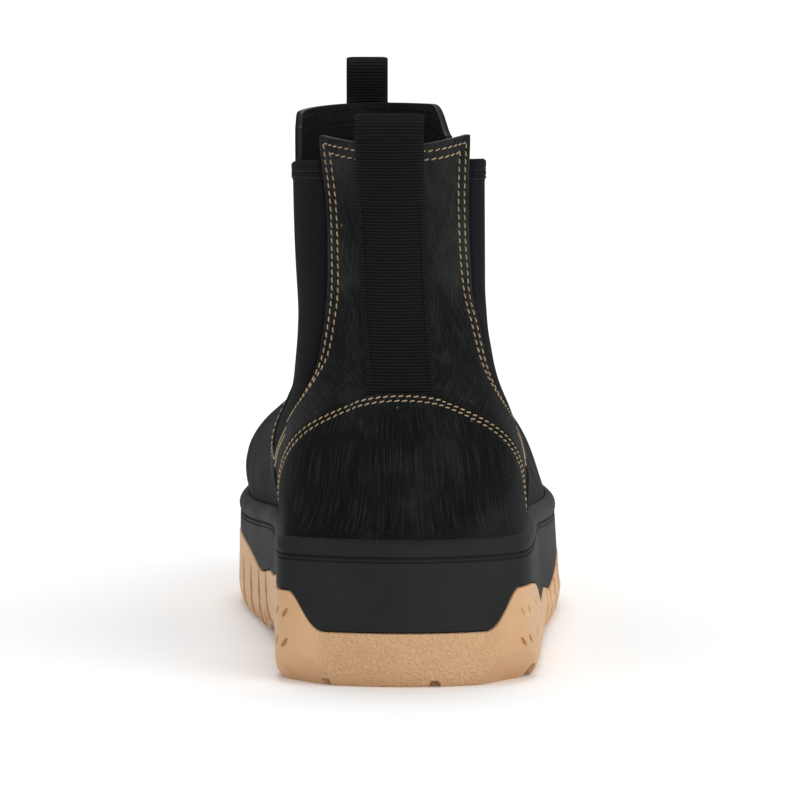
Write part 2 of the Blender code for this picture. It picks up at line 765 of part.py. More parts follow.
def loop_path(first, last, collar, rise, rows):
    """Path up one side of a loop, over its top and down the other, the bulges to opposite sides."""
    going = [(first + LOOP_BULGE * row.bulge, collar + rise * row.climb) for row in rows]
    returning = [(last - LOOP_BULGE * row.bulge, collar + rise * row.climb) for row in rows]
    return [*going, ((first + last) / 2, collar + rise), *reversed(returning)]


def make_rear_loop():
    """Webbing from the counter up the back, over the collar as a finger loop and down inside."""
    collar = HEEL_HEIGHT + SHAFT_RISE
    outside = GAP + STRAP_THICKNESS / 2
    inside = -WALL - outside
    foot = HEEL_HEIGHT + COUNTER_OUTLINE[0].rise * SHAFT_RISE + GAP * 4
    waist = blend(foot, collar, 0.75)
    path = [(outside, foot), (outside, blend(foot, waist, 0.5)), (outside, waist)]
    path += loop_path(outside, inside, collar, REAR_LOOP_RISE, REAR_LOOP)
    path += [(inside, waist)]
    return make_strap("rear_pull_loop", False, REAR_STRAP_WIDTH, path, collar)


def make_front_loop():
    """Webbing folded into a finger loop over the front of the collar, both ends down the outside."""
    edge = SHAFT_SECTIONS[-1]
    front = (edge.back_y - 0.5) * LENGTH + SHAFT_DEPTH
    collar = float(rim_height(front)) + SHAFT_RISE * edge.front_rise
    near = GAP + STRAP_THICKNESS / 2
    far = near + STRAP_THICKNESS + GAP
    foot = collar - FRONT_LOOP_TAIL
    waist = blend(foot, collar, 0.5)
    path = [(near, foot), (near, waist)]
    path += loop_path(near, far, collar, FRONT_LOOP_RISE, FRONT_LOOP)
    path += [(far, waist), (far, foot)]
    return make_strap("front_pull_loop", True, FRONT_STRAP_WIDTH, path, collar)


def main():
    for obj in list(bpy.data.objects):
        bpy.data.objects.remove(obj)
    boot = bpy.data.objects.new("boot", None)
    bpy.context.scene.collection.objects.link(boot)
    pieces = [
        make_outsole(),
        make_midsole(),
        make_insole(),
        make_upper(),
        make_gore("gore_medial", -1),
        make_gore("gore_lateral", 1),
        make_counter(),
        make_rear_loop(),
        make_front_loop(),
    ]
    for piece in pieces:
        piece.parent = boot


main()
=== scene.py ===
"""Looks of a right-foot ankle boot on a track sole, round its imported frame, in metres, toe towards +Y."""

import json
import logging
import math
from collections.abc import Callable
from dataclasses import dataclass, field
from enum import Enum

import bmesh
import bpy
import numpy as np
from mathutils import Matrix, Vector

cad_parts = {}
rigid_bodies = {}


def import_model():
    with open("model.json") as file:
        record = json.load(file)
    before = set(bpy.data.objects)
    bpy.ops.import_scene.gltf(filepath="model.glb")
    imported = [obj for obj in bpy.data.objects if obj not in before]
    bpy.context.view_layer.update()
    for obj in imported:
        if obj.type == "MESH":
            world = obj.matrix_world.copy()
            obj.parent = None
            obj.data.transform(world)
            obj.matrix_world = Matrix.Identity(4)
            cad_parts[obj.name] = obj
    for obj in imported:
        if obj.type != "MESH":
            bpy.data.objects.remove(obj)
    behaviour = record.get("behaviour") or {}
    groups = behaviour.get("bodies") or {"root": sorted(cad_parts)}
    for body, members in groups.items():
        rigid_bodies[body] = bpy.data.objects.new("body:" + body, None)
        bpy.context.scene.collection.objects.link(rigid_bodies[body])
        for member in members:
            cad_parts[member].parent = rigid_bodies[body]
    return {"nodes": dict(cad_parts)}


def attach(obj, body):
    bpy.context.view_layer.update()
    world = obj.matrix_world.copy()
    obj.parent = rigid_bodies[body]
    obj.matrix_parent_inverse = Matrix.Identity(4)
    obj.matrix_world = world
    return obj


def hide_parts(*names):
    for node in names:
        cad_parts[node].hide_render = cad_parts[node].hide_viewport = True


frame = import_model()
log = logging.getLogger("boot")
Array = np.ndarray
Socket = bpy.types.NodeSocket
Colour = tuple[float, float, float]

# Driving sizes, the same as in the part's source
LENGTH = 0.288
BALL_WIDTH = 0.105
HEEL_WIDTH = 0.081
HEEL_HEIGHT = 0.0455
BALL_HEIGHT = 0.0375
TOE_SPRING = 0.014
RIM_SPRING = 0.011
ARCH_RISE = 0.004
SHAFT_RISE = 0.1205
SHAFT_WIDTH = 0.0595
SHAFT_DEPTH = 0.108
WALL = 0.0022
LEDGE = 0.003
LIP = 0.003
GAP = 0.0003
STATIONS = (0.03, 0.12, 0.38, 0.64, 0.85)
KNOT_SPANS = (3, 3, 5, 5, 5, 5)
KNOTS = 12


@dataclass(frozen=True)
class Section:
    """One row of the boot's table of horizontal outlines.

    Attributes:
        ends: Back and front along Y, in shares of LENGTH, or of SHAFT_DEPTH for the front of a shaft row.
        rises: Rise over the midsole at back and front, in shares of SHAFT_RISE.
        centre: Place across at back and front, in shares of the width.
        medial: Half widths of the medial side at the stations, in shares of the width.
        lateral: The same on the lateral side.
        on_shaft: Whether the row is measured on the shaft.
    """

    ends: tuple[float, float]
    rises: tuple[float, float]
    centre: tuple[float, float]
    medial: tuple[float, ...]
    lateral: tuple[float, ...]
    on_shaft: bool = False

    def reach(self) -> tuple[float, float]:
        """Back and front of the outline along Y, in metres."""
        back = (self.ends[0] - 0.5) * LENGTH
        return back, back + self.ends[1] * SHAFT_DEPTH if self.on_shaft else (self.ends[1] - 0.5) * LENGTH

    def control(self) -> Array:
        """Control points of the closed cubic through the row's twelve knots.

        Returns:
            The points, twelve by two.
        """
        width = SHAFT_WIDTH if self.on_shaft else BALL_WIDTH
        back, front = self.reach()
        along = blend(back, front, np.array(STATIONS))
        lateral = np.column_stack((np.array(self.lateral) * width, along))
        medial = np.column_stack((np.array(self.medial) * width, along))
        heel, toe = (self.centre[0] * width, back), (self.centre[1] * width, front)
        knots = np.concatenate(([heel], lateral, [toe], medial[::-1]))
        same = np.eye(KNOTS)
        matrix = (4.0 * same + np.roll(same, 1, axis=0) + np.roll(same, -1, axis=0)) / 6.0
        return np.linalg.solve(matrix, knots)


GROUND = Section(
    (0.000, 1.000), (0, 0), (0.019, -0.076),
    (-0.305, -0.365, -0.400, -0.503, -0.433), (0.310, 0.409, 0.450, 0.506, 0.381),
)
RIM = Section(
    (0.004, 0.995), (0, 0), (0.016, -0.076),
    (-0.300, -0.362, -0.405, -0.500, -0.424), (0.290, 0.388, 0.420, 0.484, 0.367),
)
UPPER_SECTIONS = (
    Section(
        (0.007, 0.990), (0.080, 0.110), (0.014, -0.076),
        (-0.250, -0.346, -0.396, -0.479, -0.405), (0.250, 0.356, 0.386, 0.408, 0.348),
    ),
    Section(
        (0.009, 0.970), (0.185, 0.212), (0.012, -0.076),
        (-0.235, -0.341, -0.386, -0.414, -0.350), (0.238, 0.350, 0.356, 0.334, 0.295),
    ),
    Section(
        (0.015, 0.924), (0.268, 0.282), (0.009, -0.076),
        (-0.210, -0.324, -0.348, -0.324, -0.255), (0.215, 0.328, 0.318, 0.270, 0.220),
    ),
    Section(
        (0.022, 0.820), (0.343, 0.357), (0.004, -0.071),
        (-0.185, -0.305, -0.320, -0.278, -0.180), (0.190, 0.298, 0.282, 0.236, 0.150),
    ),
    Section(
        (0.029, 0.695), (0.418, 0.440), (0.000, -0.067),
        (-0.165, -0.284, -0.312, -0.268, -0.168), (0.165, 0.270, 0.266, 0.230, 0.141),
    ),
    Section(
        (0.033, 0.576), (0.502, 0.530), (-0.008, -0.067),
        (-0.142, -0.254, -0.308, -0.268, -0.178), (0.130, 0.238, 0.260, 0.226, 0.134),
    ),
    Section(
        (0.035, 1.210), (0.628, 0.655), (-0.029, -0.134),
        (-0.205, -0.400, -0.548, -0.515, -0.378), (0.150, 0.350, 0.455, 0.388, 0.224), True,
    ),
    Section(
        (0.036, 1.070), (0.795, 0.820), (-0.044, -0.160),
        (-0.212, -0.385, -0.550, -0.548, -0.436), (0.135, 0.326, 0.452, 0.346, 0.186), True,
    ),
    Section(
        (0.034, 1.000), (1.000, 1.070), (-0.055, -0.176),
        (-0.220, -0.385, -0.552, -0.558, -0.462), (0.120, 0.312, 0.449, 0.328, 0.176), True,
    ),
)
# Gum edge: share of LENGTH, then medial and lateral height in shares of HEEL_HEIGHT
GUM_EDGES = np.array((
    (0.00, 0.630, 0.625), (0.12, 0.610, 0.605), (0.26, 0.545, 0.36), (0.40, 0.38, 0.265),
    (0.52, 0.475, 0.29), (0.66, 0.54, 0.40), (0.80, 0.515, 0.46), (1.00, 0.46, 0.46),
))
# Side outlines: along Y in shares of SHAFT_DEPTH from the back, rise in shares of SHAFT_RISE
GORE_OUTLINE = np.array((
    (0.225, 1.20), (0.225, 0.985), (0.200, 0.85), (0.195, 0.68), (0.182, 0.50), (0.200, 0.39),
    (0.285, 0.305), (0.500, 0.215), (0.700, 0.150), (0.820, 0.145), (0.920, 0.180), (0.965, 0.270),
    (0.950, 0.400), (0.890, 0.600), (0.840, 0.830), (0.815, 1.20),
))
VAMP_SEAM = np.array(((0.815, 0.150), (0.740, 0.115), (0.660, 0.088), (0.540, 0.045), (0.460, 0.000)))
COUNTER_OUTLINE = np.array((
    (-0.10, 0.367), (0.070, 0.360), (0.110, 0.325), (0.205, 0.245),
    (0.295, 0.175), (0.350, 0.115), (0.378, 0.060), (0.388, 0.000),
))
GORE_BELLY = 0.040


def smooth(value: Array) -> Array:
    """0 below 0, 1 above 1 and an even S between."""
    held = np.clip(value, 0.0, 1.0)
    return held * held * (3.0 - 2.0 * held)


def blend(start: Array, end: Array, share: Array) -> Array:
    """Straight mix of start and end."""
    return start + (end - start) * share


def spring(y: Array) -> Array:
    """Toe spring, from 0 at the ball to 1 at the tip."""
    return np.clip((y / LENGTH + 0.5 - 0.71) / 0.29, 0.0, 1.2) ** 1.8


def ground_height(y: Array) -> Array:
    """Underside of the tread: flat under heel and forefoot, raised at arch and toe."""
    arch = np.clip((y / LENGTH + 0.5 - 0.27) / 0.21, 0.0, 1.0)
    return ARCH_RISE * np.sin(math.pi * arch) ** 2 + TOE_SPRING * spring(y)


def rim_height(y: Array) -> Array:
    """Top of the midsole: high under the heel, lower at the ball, turned up at the toe."""
    return blend(HEEL_HEIGHT, BALL_HEIGHT, smooth((y / LENGTH + 0.3) / 0.46)) + RIM_SPRING * spring(y)


def ring_points(control: Array, turn: Array) -> Array:
    """Points of a closed cubic at shares of a turn: weights of four control points round each place.

    Args:
        control: Twelve control points in plan.
        turn: Shares of a turn round the boot.

    Returns:
        Points, with the shape of turn and a last axis of two.
    """
    at = np.mod(turn, 1.0) * KNOTS
    base = np.floor(at).astype(int)
    u = (at - base)[..., None]
    weights = ((1 - u) ** 3, 3 * u**3 - 6 * u**2 + 4, -3 * u**3 + 3 * u**2 + 3 * u + 1, u**3)
    return sum(w * control[(base + i - 1) % KNOTS] for i, w in enumerate(weights)) / 6.0


def spline_matrix(at: Array) -> Array:
    """Matrix that turns knot values into the second derivatives of their natural cubic.

    Args:
        at: Rising parameters of the knots.

    Returns:
        The square matrix.
    """
    count = len(at)
    steps = np.diff(at)
    left, right = np.eye(count), np.zeros((count, count))
    for i in range(1, count - 1):
        left[i, i - 1 : i + 2] = steps[i - 1], 2 * (steps[i - 1] + steps[i]), steps[i]
        right[i, i - 1 : i + 2] = 6 / steps[i - 1], -6 / steps[i - 1] - 6 / steps[i], 6 / steps[i]
    return np.linalg.solve(left, right)


def spline(at: Array, values: Array, where: Array) -> Array:
    """Natural cubic through rows of values at rising parameters.

    Args:
        at: Parameters of the knots.
        values: Value of each knot, with any further axes.
        where: Parameters to read.

    Returns:
        A row for each place.
    """
    bends = spline_matrix(at) @ values.reshape(len(at), -1)
    flat = values.reshape(len(at), -1)
    i = np.clip(np.searchsorted(at, where) - 1, 0, len(at) - 2)
    step = (at[i + 1] - at[i])[:, None]
    left, ahead = (at[i + 1] - where)[:, None], (where - at[i])[:, None]
    result = (bends[i] * left**3 + bends[i + 1] * ahead**3) / (6 * step)
    result += (flat[i] / step - bends[i] * step / 6) * left
    result += (flat[i + 1] / step - bends[i + 1] * step / 6) * ahead
    return result.reshape((len(where),) + values.shape[1:])


def arc_lengths(points: Array) -> Array:
    """Running length along a line of points."""
    return np.concatenate(([0.0], np.cumsum(np.linalg.norm(np.diff(points, axis=0), axis=1))))


def side_curve(table: Array, belly: float, samples: int) -> Array:
    """Smooth side outline in metres, its middle heights moved forward by the belly.

    Args:
        table: Rows of place along Y and rise, in shares.
        belly: Shift at half height, in shares of SHAFT_DEPTH.
        samples: Number of points.

    Returns:
        Points (y, z).
    """
    along = table[:, 0] + belly * np.sin(math.pi * np.minimum(table[:, 1], 1.0))
    placed = np.column_stack((along * SHAFT_DEPTH - LENGTH / 2, HEEL_HEIGHT + table[:, 1] * SHAFT_RISE))
    at = arc_lengths(placed)
    return spline(at, placed, np.linspace(0.0, at[-1], samples))


def inset(curve: Array, distance: Array) -> Array:
    """A closed plan curve moved inwards.

    Args:
        curve: Points in plan.
        distance: One distance, or one a point.

    Returns:
        The moved points.
    """
    along = np.roll(curve, -1, axis=0) - np.roll(curve, 1, axis=0)
    along /= np.linalg.norm(along, axis=1)[:, None]
    return curve + np.reshape(distance, (-1, 1)) * np.column_stack((-along[:, 1], along[:, 0]))


class Side(Enum):
    """The two sides of the foot."""

    MEDIAL = "medial"
    LATERAL = "lateral"


class BootForm:
    """The outer face of the upper as a surface of turn u round the boot and height v from foot to collar.

    Each turn meets ten outlines, and a natural cubic runs up through the ten points.
    """

    def __init__(self) -> None:
        """Works out the outlines' splines and the heights' parameters."""
        self.controls = [RIM.control()] + [row.control() for row in UPPER_SECTIONS]
        spans = KNOT_SPANS + KNOT_SPANS[::-1]
        turns = np.concatenate([(i + np.arange(n) / n) / KNOTS for i, n in enumerate(spans)])
        keys = self.keys(turns)
        steps = np.linalg.norm(np.diff(keys, axis=0), axis=2).mean(axis=1)
        self.at = np.concatenate(([0.0], np.cumsum(steps)))
        self.length = self.at[-1]
        self.matrix = spline_matrix(self.at)

    def keys(self, turn: Array) -> Array:
        """Points of every outline at these turns.

        Args:
            turn: Shares of a turn round the boot.

        Returns:
            Points by outline, then by turn.
        """
        step = 1e-4
        rim = ring_points(self.controls[0], turn)
        along = ring_points(self.controls[0], turn + step) - ring_points(self.controls[0], turn - step)
        along /= np.linalg.norm(along, axis=-1)[..., None]
        foot = rim + LEDGE * np.stack((-along[..., 1], along[..., 0]), axis=-1)
        rows = [np.concatenate((foot, (rim_height(foot[..., 1]) + GAP)[..., None]), axis=-1)]
        for row, control in zip(UPPER_SECTIONS, self.controls[1:]):
            plan = ring_points(control, turn)
            back, front = row.reach()
            rise = blend(row.rises[0], row.rises[1], (plan[..., 1] - back) / (front - back)) * SHAFT_RISE
            rows.append(np.concatenate((plan, (rim_height(plan[..., 1]) + rise)[..., None]), axis=-1))
        return np.stack(rows)

    def base(self, u: Array, v: Array) -> Array:
        """Points of the face, carried straight down under the foot and straight up over the collar.

        Args:
            u: Turns.
            v: Heights from 0 at the foot to 1 at the collar.

        Returns:
            Points in metres.
        """
        shape = np.shape(u)
        u, v = np.ravel(u), np.ravel(v)
        keys = self.keys(u)
        bends = np.tensordot(self.matrix, keys, axes=(1, 0))
        t = np.clip(v, 0.0, 1.0) * self.length
        i = np.clip(np.searchsorted(self.at, t) - 1, 0, len(self.at) - 2)
        n = np.arange(len(u))
        step = (self.at[i + 1] - self.at[i])[:, None]
        left, ahead = (self.at[i + 1] - t)[:, None], (t - self.at[i])[:, None]
        points = (bends[i, n] * left**3 + bends[i + 1, n] * ahead**3) / (6 * step)
        points += (keys[i, n] / step - bends[i, n] * step / 6) * left
        points += (keys[i + 1, n] / step - bends[i + 1, n] * step / 6) * ahead
        points[:, 2] += (np.minimum(v, 0.0) + np.maximum(v - 1.0, 0.0)) * self.length
        return points.reshape(shape + (3,))

    def normal(self, u: Array, v: Array) -> Array:
        """Outward unit normals, level at the foot and at the collar.

        Args:
            u: Turns.
            v: Heights from 0 at the foot to 1 at the collar.

        Returns:
            The normals.
        """
        e = 1e-3
        around = self.base(u + e, v) - self.base(u - e, v)
        held = np.clip(v, 0.0, 1.0)
        up = self.base(u, np.minimum(held + e, 1.0)) - self.base(u, np.maximum(held - e, 0.0))
        normals = np.cross(around, up)
        normals[..., 2] *= np.clip(held * 19, 0, 1) * np.clip((1 - held) * 19, 0, 1)
        return normals / np.linalg.norm(normals, axis=-1)[..., None]

    def find(self, side: Side, outline: Array) -> Array:
        """Turn and height of side points (y, z): the nearest of a grid, then four Newton steps.

        Args:
            side: Side of the foot.
            outline: Points (y, z).

        Returns:
            Turn and height of each point.
        """
        turns = np.linspace(0.02, 0.48, 240) if side is Side.LATERAL else np.linspace(0.52, 0.98, 240)
        u, v = np.meshgrid(turns, np.linspace(0.0, 1.0, 160), indexing="ij")
        grid = self.base(u, v)[..., 1:].reshape(-1, 2)
        pick = np.argmin(((outline[:, None] - grid[None]) ** 2).sum(axis=2), axis=1)
        found = np.column_stack((u.ravel()[pick], v.ravel()[pick]))
        e = 1e-4
        for _ in range(4):
            here = self.base(found[:, 0], found[:, 1])[:, 1:]
            du = (self.base(found[:, 0] + e, found[:, 1])[:, 1:] - here) / e
            dv = (here - self.base(found[:, 0], found[:, 1] - e)[:, 1:]) / e
            miss = outline - here
            det = du[:, 0] * dv[:, 1] - du[:, 1] * dv[:, 0]
            step = np.column_stack((
                miss[:, 0] * dv[:, 1] - miss[:, 1] * dv[:, 0],
                du[:, 0] * miss[:, 1] - du[:, 1] * miss[:, 0],
            )) / det[:, None]
            found += np.clip(step, -0.02, 0.02)
        found[:, 1] = np.clip(found[:, 1], -0.03, 1.0)
        return found

    def resample(self, line: Array, samples: int = 300) -> Array:
        """Turn and height at even steps of a line's true length.

        Args:
            line: Turns and heights.
            samples: Number of places.

        Returns:
            The places.
        """
        at = arc_lengths(self.base(*line.T))
        keep = np.concatenate(([True], np.diff(at) > 1e-7))
        where = np.linspace(0, at[-1], samples)
        return np.column_stack([np.interp(where, at[keep], line[keep, i]) for i in (0, 1)])


def make_object(name: str, points: Array, faces: Array, uv: Array | None = None, slots: Array | None = None,
                sharp: float = 40.0) -> bpy.types.Object:
    """Puts a mesh of four-sided faces into the scene.

    Args:
        name: Name of the piece.
        points: Vertices, n by 3.
        faces: Vertex numbers, n by 4.
        uv: One UV place a vertex.
        slots: Number of each face's material.
        sharp: Angle in degrees over which an edge is sharp.

    Returns:
        The new object.
    """
    mesh = bpy.data.meshes.new(name)
    mesh.vertices.add(len(points))
    mesh.vertices.foreach_set("co", np.asarray(points, np.float32).ravel())
    mesh.loops.add(faces.size)
    mesh.loops.foreach_set("vertex_index", np.asarray(faces, np.int32).ravel())
    mesh.polygons.add(len(faces))
    mesh.polygons.foreach_set("loop_start", np.arange(0, faces.size, faces.shape[1], dtype=np.int32))
    if slots is not None:
        mesh.polygons.foreach_set("material_index", np.asarray(slots, np.int32))
    mesh.update(calc_edges=True)
    if uv is not None:
        layer = mesh.uv_layers.new(name="UVMap")
        layer.data.foreach_set("uv", np.asarray(uv, np.float32)[np.ravel(faces)].ravel())
    mesh.validate()
    mesh.shade_smooth()
    mesh.set_sharp_from_angle(angle=math.radians(sharp))
    obj = bpy.data.objects.new(name, mesh)
    bpy.context.scene.collection.objects.link(obj)
    return obj


def grid_faces(rows: int, columns: int, closed: bool = False) -> Array:
    """Quads between the rows of a grid of vertices, its columns joined round if it is closed.

    Args:
        rows: Number of rows.
        columns: Vertices in a row.
        closed: Whether the last column meets the first.

    Returns:
        Vertex numbers, n by 4.
    """
    i, j = np.meshgrid(np.arange(rows - 1), np.arange(columns if closed else columns - 1), indexing="ij")
    i, j = i.ravel(), j.ravel()
    k = (j + 1) % columns
    here, above = i * columns, (i + 1) * columns
    return np.column_stack((here + j, here + k, above + k, above + j))


def border_loop(rows: int, columns: int) -> Array:
    """Vertex numbers round the border of a grid, anticlockwise for rows that run up."""
    number = np.arange(rows * columns).reshape(rows, columns)
    return np.concatenate((number[0, :-1], number[:-1, -1], number[-1, :0:-1], number[:0:-1, 0]))


def shell(outer: Array, inner: Array) -> tuple[Array, Array]:
    """Closes two faces of one grid into a solid, with a strip round their borders.

    Args:
        outer: Outer face, rows by columns by 3.
        inner: Inner face of the same shape.

    Returns:
        Vertices and faces, the outer face's first.
    """
    rows, columns = outer.shape[:2]
    size = rows * columns
    loop = border_loop(rows, columns)
    front = grid_faces(rows, columns)
    rim = np.column_stack((loop, loop + size, np.roll(loop + size, -1), np.roll(loop, -1)))
    points = np.concatenate((outer.reshape(-1, 3), inner.reshape(-1, 3)))
    return points, np.concatenate((front, front[:, ::-1] + size, rim))


class Shader:
    """A Principled material and short ways to add nodes to it."""

    def __init__(self, name: str, **values: object) -> None:
        """Starts the material with constant values set on the shader's own sockets."""
        self.material = bpy.data.materials.new(name)
        self.material.use_nodes = True
        self.tree = self.material.node_tree
        self.shader = self.tree.nodes["Principled BSDF"]
        for socket, value in values.items():
            self.shader.inputs[socket.replace("_", " ")].default_value = value

    def add(self, kind: str, inputs: dict | None = None, **settings: object) -> bpy.types.Node:
        """Adds a node, with sockets by name or number given a value or a link.

        Args:
            kind: Node type after its prefix.
            inputs: Values or links by socket.
            settings: Properties of the node.

        Returns:
            The node.
        """
        node = self.tree.nodes.new("ShaderNode" + kind)
        for key, value in settings.items():
            setattr(node, key, value)
        for key, value in (inputs or {}).items():
            if isinstance(value, Socket):
                self.tree.links.new(value, node.inputs[key])
            else:
                node.inputs[key].default_value = value
        return node

    def noise(self, vector: Socket, scale: float, detail: float = 3.0, rough: float = 0.55) -> Socket:
        """Fractal noise, as its value socket."""
        inputs = {"Vector": vector, "Scale": scale, "Detail": detail, "Roughness": rough}
        return self.add("TexNoise", inputs).outputs[0]

    def ramp(self, value: Socket, low: float, high: float, start: float = 0.0, end: float = 1.0) -> Socket:
        """Maps low to high onto start to end, held at both."""
        inputs = {0: value, 1: low, 2: high, 3: start, 4: end}
        return self.add("MapRange", inputs, interpolation_type="SMOOTHSTEP").outputs[0]

    def math(self, operation: str, *values: Socket | float) -> Socket:
        """One arithmetic node."""
        return self.add("Math", dict(enumerate(values)), operation=operation).outputs[0]

    def mix(self, share: Socket, low: Socket | tuple, high: Socket | tuple) -> Socket:
        """Colour mix."""
        return self.add("Mix", {0: share, 6: low, 7: high}, data_type="RGBA").outputs[2]

    def space(self, uv: bool, scale: tuple[float, float, float], turn: float = 0.0) -> Socket:
        """Object or UV coordinates, turned and scaled.

        Args:
            uv: Whether to read the piece's UV map.
            scale: Scale along each axis.
            turn: Angle in degrees.

        Returns:
            The coordinates.
        """
        source = self.add("TexCoord").outputs["UV" if uv else "Object"]
        rotation = (0.0, 0.0, math.radians(turn))
        turned = self.add("Mapping", {"Vector": source, "Rotation": rotation}).outputs[0]
        return self.add("Mapping", {"Vector": turned, "Scale": scale}).outputs[0]

    def bump(self, height: Socket, distance: float, strength: float, under: Socket | None = None) -> Socket:
        """Bump in metres, over another bump if there is one.

        Args:
            height: Height from 0 to 1.
            distance: Depth in metres.
            strength: Share of it used.
            under: Normal of an earlier bump.

        Returns:
            The bumped normal.
        """
        inputs = {"Height": height, "Distance": distance, "Strength": strength}
        if under is not None:
            inputs["Normal"] = under
        return self.add("Bump", inputs).outputs[0]

    def wear(self, colour: Socket, roughness: Socket | None, normal: Socket) -> bpy.types.Material:
        """Links the worked-out colour, roughness and normal.

        Args:
            colour: Base colour.
            roughness: Roughness, or None to keep the constant.
            normal: Bumped normal.

        Returns:
            The finished material.
        """
        for socket, value in (("Base Color", colour), ("Roughness", roughness), ("Normal", normal)):
            if value is not None:
                self.tree.links.new(value, self.shader.inputs[socket])
        return self.material


@dataclass(frozen=True)
class BrushedLeather:
    """Near-black nubuck: brushed streaks, soft patches, pores and a little light dust."""

    name: str
    turns: tuple[float, ...]
    dark: Colour = (0.0032, 0.0037, 0.0040)
    light: Colour = (0.0240, 0.0252, 0.0254)
    streak: float = 0.8

    def material(self) -> bpy.types.Material:
        """Streaks are noise stretched along the brushing in the piece's own UV, in metres.

        Returns:
            The material.
        """
        s = Shader(self.name, Sheen_Weight=0.01, Sheen_Roughness=0.4, Specular_IOR_Level=0.05)
        place = s.space(False, (1.0, 1.0, 1.0))
        patches = s.noise(place, 42.0, 4.0)
        pores = s.noise(place, 2600.0, 2.0, 0.7)
        brushed = None
        for turn in self.turns:
            layer = s.noise(s.space(True, (2700.0, 60.0, 1.0), turn), 1.0, 4.0, 0.65)
            brushed = layer if brushed is None else s.math("MAXIMUM", brushed, layer)
        lines = s.ramp(brushed, 0.47, 0.76)
        dust = s.ramp(s.noise(place, 620.0, 0.0), 0.86, 0.90, 0.0, 0.35)
        share = s.math("ADD", s.math("MULTIPLY", lines, self.streak), s.ramp(patches, 0.42, 0.70, 0.0, 0.45))
        share = s.math("MINIMUM", s.math("ADD", share, s.ramp(pores, 0.5, 0.9, 0.0, 0.25)), 1.0)
        colour = s.mix(share, (*self.dark, 1.0), (*self.light, 1.0))
        colour = s.mix(dust, colour, (0.16, 0.16, 0.155, 1.0))
        normal = s.bump(pores, 0.00012, 0.8)
        normal = s.bump(brushed, 0.00022, 0.7, normal)
        normal = s.bump(patches, 0.0010, 0.5, normal)
        return s.wear(colour, s.ramp(patches, 0.3, 0.7, 0.66, 0.86), normal)


@dataclass(frozen=True)
class PlainHide:
    """Smooth lining leather or a raw cut edge."""

    name: str
    colour: Colour
    roughness: float
    grain: float = 900.0

    def material(self) -> bpy.types.Material:
        """Fine grain from noise in object space.

        Returns:
            The material.
        """
        s = Shader(self.name, Specular_IOR_Level=0.25)
        place = s.space(False, (1.0, 1.0, 1.0))
        grain = s.noise(place, self.grain, 3.0)
        tone = s.mix(s.ramp(grain, 0.3, 0.75), (*self.colour, 1.0), (*(c * 2.0 for c in self.colour), 1.0))
        rough = s.ramp(s.noise(place, 30.0), 0.3, 0.7, self.roughness - 0.08, self.roughness + 0.1)
        return s.wear(tone, rough, s.bump(grain, 0.0002, 0.7))


@dataclass(frozen=True)
class MouldedRubber:
    """Matte moulded rubber with a fine stipple, and pebbles where it is asked for."""

    name: str
    colour: Colour
    shade: Colour
    roughness: float
    gloss: float
    pebbled: bool = False
    glow: float = 0.0

    def material(self) -> bpy.types.Material:
        """Stipple is fine noise. Pebbles are smooth cells, only on the middle of the heel's back face.

        Returns:
            The material.
        """
        s = Shader(
            self.name, Specular_IOR_Level=self.gloss, Subsurface_Weight=self.glow, Subsurface_Scale=0.004
        )
        place = s.space(False, (1.0, 1.0, 1.0))
        cloud = s.noise(place, 28.0, 5.0)
        fine = s.noise(place, 2400.0, 2.0)
        tone = s.mix(s.ramp(cloud, 0.32, 0.72), (*self.shade, 1.0), (*self.colour, 1.0))
        smudge = s.ramp(s.noise(place, 210.0, 4.0), 0.62, 0.80, 0.0, 0.30)
        tone = s.mix(smudge, tone, (*(c * 0.8 for c in self.shade), 1.0))
        normal = s.bump(fine, 0.00007, 0.7)
        if self.pebbled:
            cells = s.add("TexVoronoi", {"Vector": place, "Scale": 1500.0}, feature="SMOOTH_F1").outputs[0]
            axes = s.add("SeparateXYZ", {0: s.add("TexCoord").outputs["Object"]})
            across = s.math("ABSOLUTE", s.math("ADD", axes.outputs[0], -0.003))
            behind = s.ramp(axes.outputs[1], -0.138, -0.130, 1.0, 0.0)
            middle = s.math("MULTIPLY", s.ramp(across, 0.024, 0.033, 1.0, 0.0), behind)
            rise = s.math("MULTIPLY", s.ramp(cells, 0.25, 0.75, 1.0, 0.0), middle)
            normal = s.bump(rise, 0.00042, 0.9, normal)
        rough = s.ramp(cloud, 0.3, 0.7, self.roughness - 0.07, self.roughness + 0.07)
        return s.wear(tone, rough, normal)


@dataclass(frozen=True)
class WovenTape:
    """Black woven yarn, for webbing and elastic: weft pitch across and yarn pitch along, in metres."""

    name: str
    dark: Colour
    light: Colour
    across: float
    along: float
    relief: float = 0.0001
    gloss: float = 0.15

    def material(self) -> bpy.types.Material:
        """Two crossed sine waves in the piece's own UV, with fuzz from fine noise.

        Returns:
            The material.
        """
        s = Shader(self.name, Specular_IOR_Level=self.gloss, Roughness=0.85)
        axes = s.add("SeparateXYZ", {0: s.add("TexCoord").outputs["UV"]})
        wave = []
        for axis, pitch in enumerate((self.across, self.along)):
            phase = s.math("MULTIPLY", axes.outputs[axis], 2 * math.pi / pitch)
            wave.append(s.math("MULTIPLY_ADD", s.math("COSINE", phase), 0.5, 0.5))
        fuzz = s.noise(s.space(False, (1.0, 1.0, 1.0)), 3000.0, 2.0)
        yarn = s.math("MULTIPLY", s.math("MULTIPLY_ADD", wave[0], 0.6, 0.4), wave[1])
        share = s.math("MULTIPLY", yarn, s.ramp(fuzz, 0.3, 0.7, 0.6, 1.0))
        # Painted light and shade: the colour is lighter on the yarn and rib crests and darker in the gaps
        # between them, following the same waves as the bump; the fuzz noise adds the yarn's own uneven tone.
        tone = s.mix(share, (*self.dark, 1.0), (*self.light, 1.0))
        return s.wear(tone, None, s.bump(fuzz, 0.00008, 0.6, s.bump(yarn, self.relief, 0.8)))


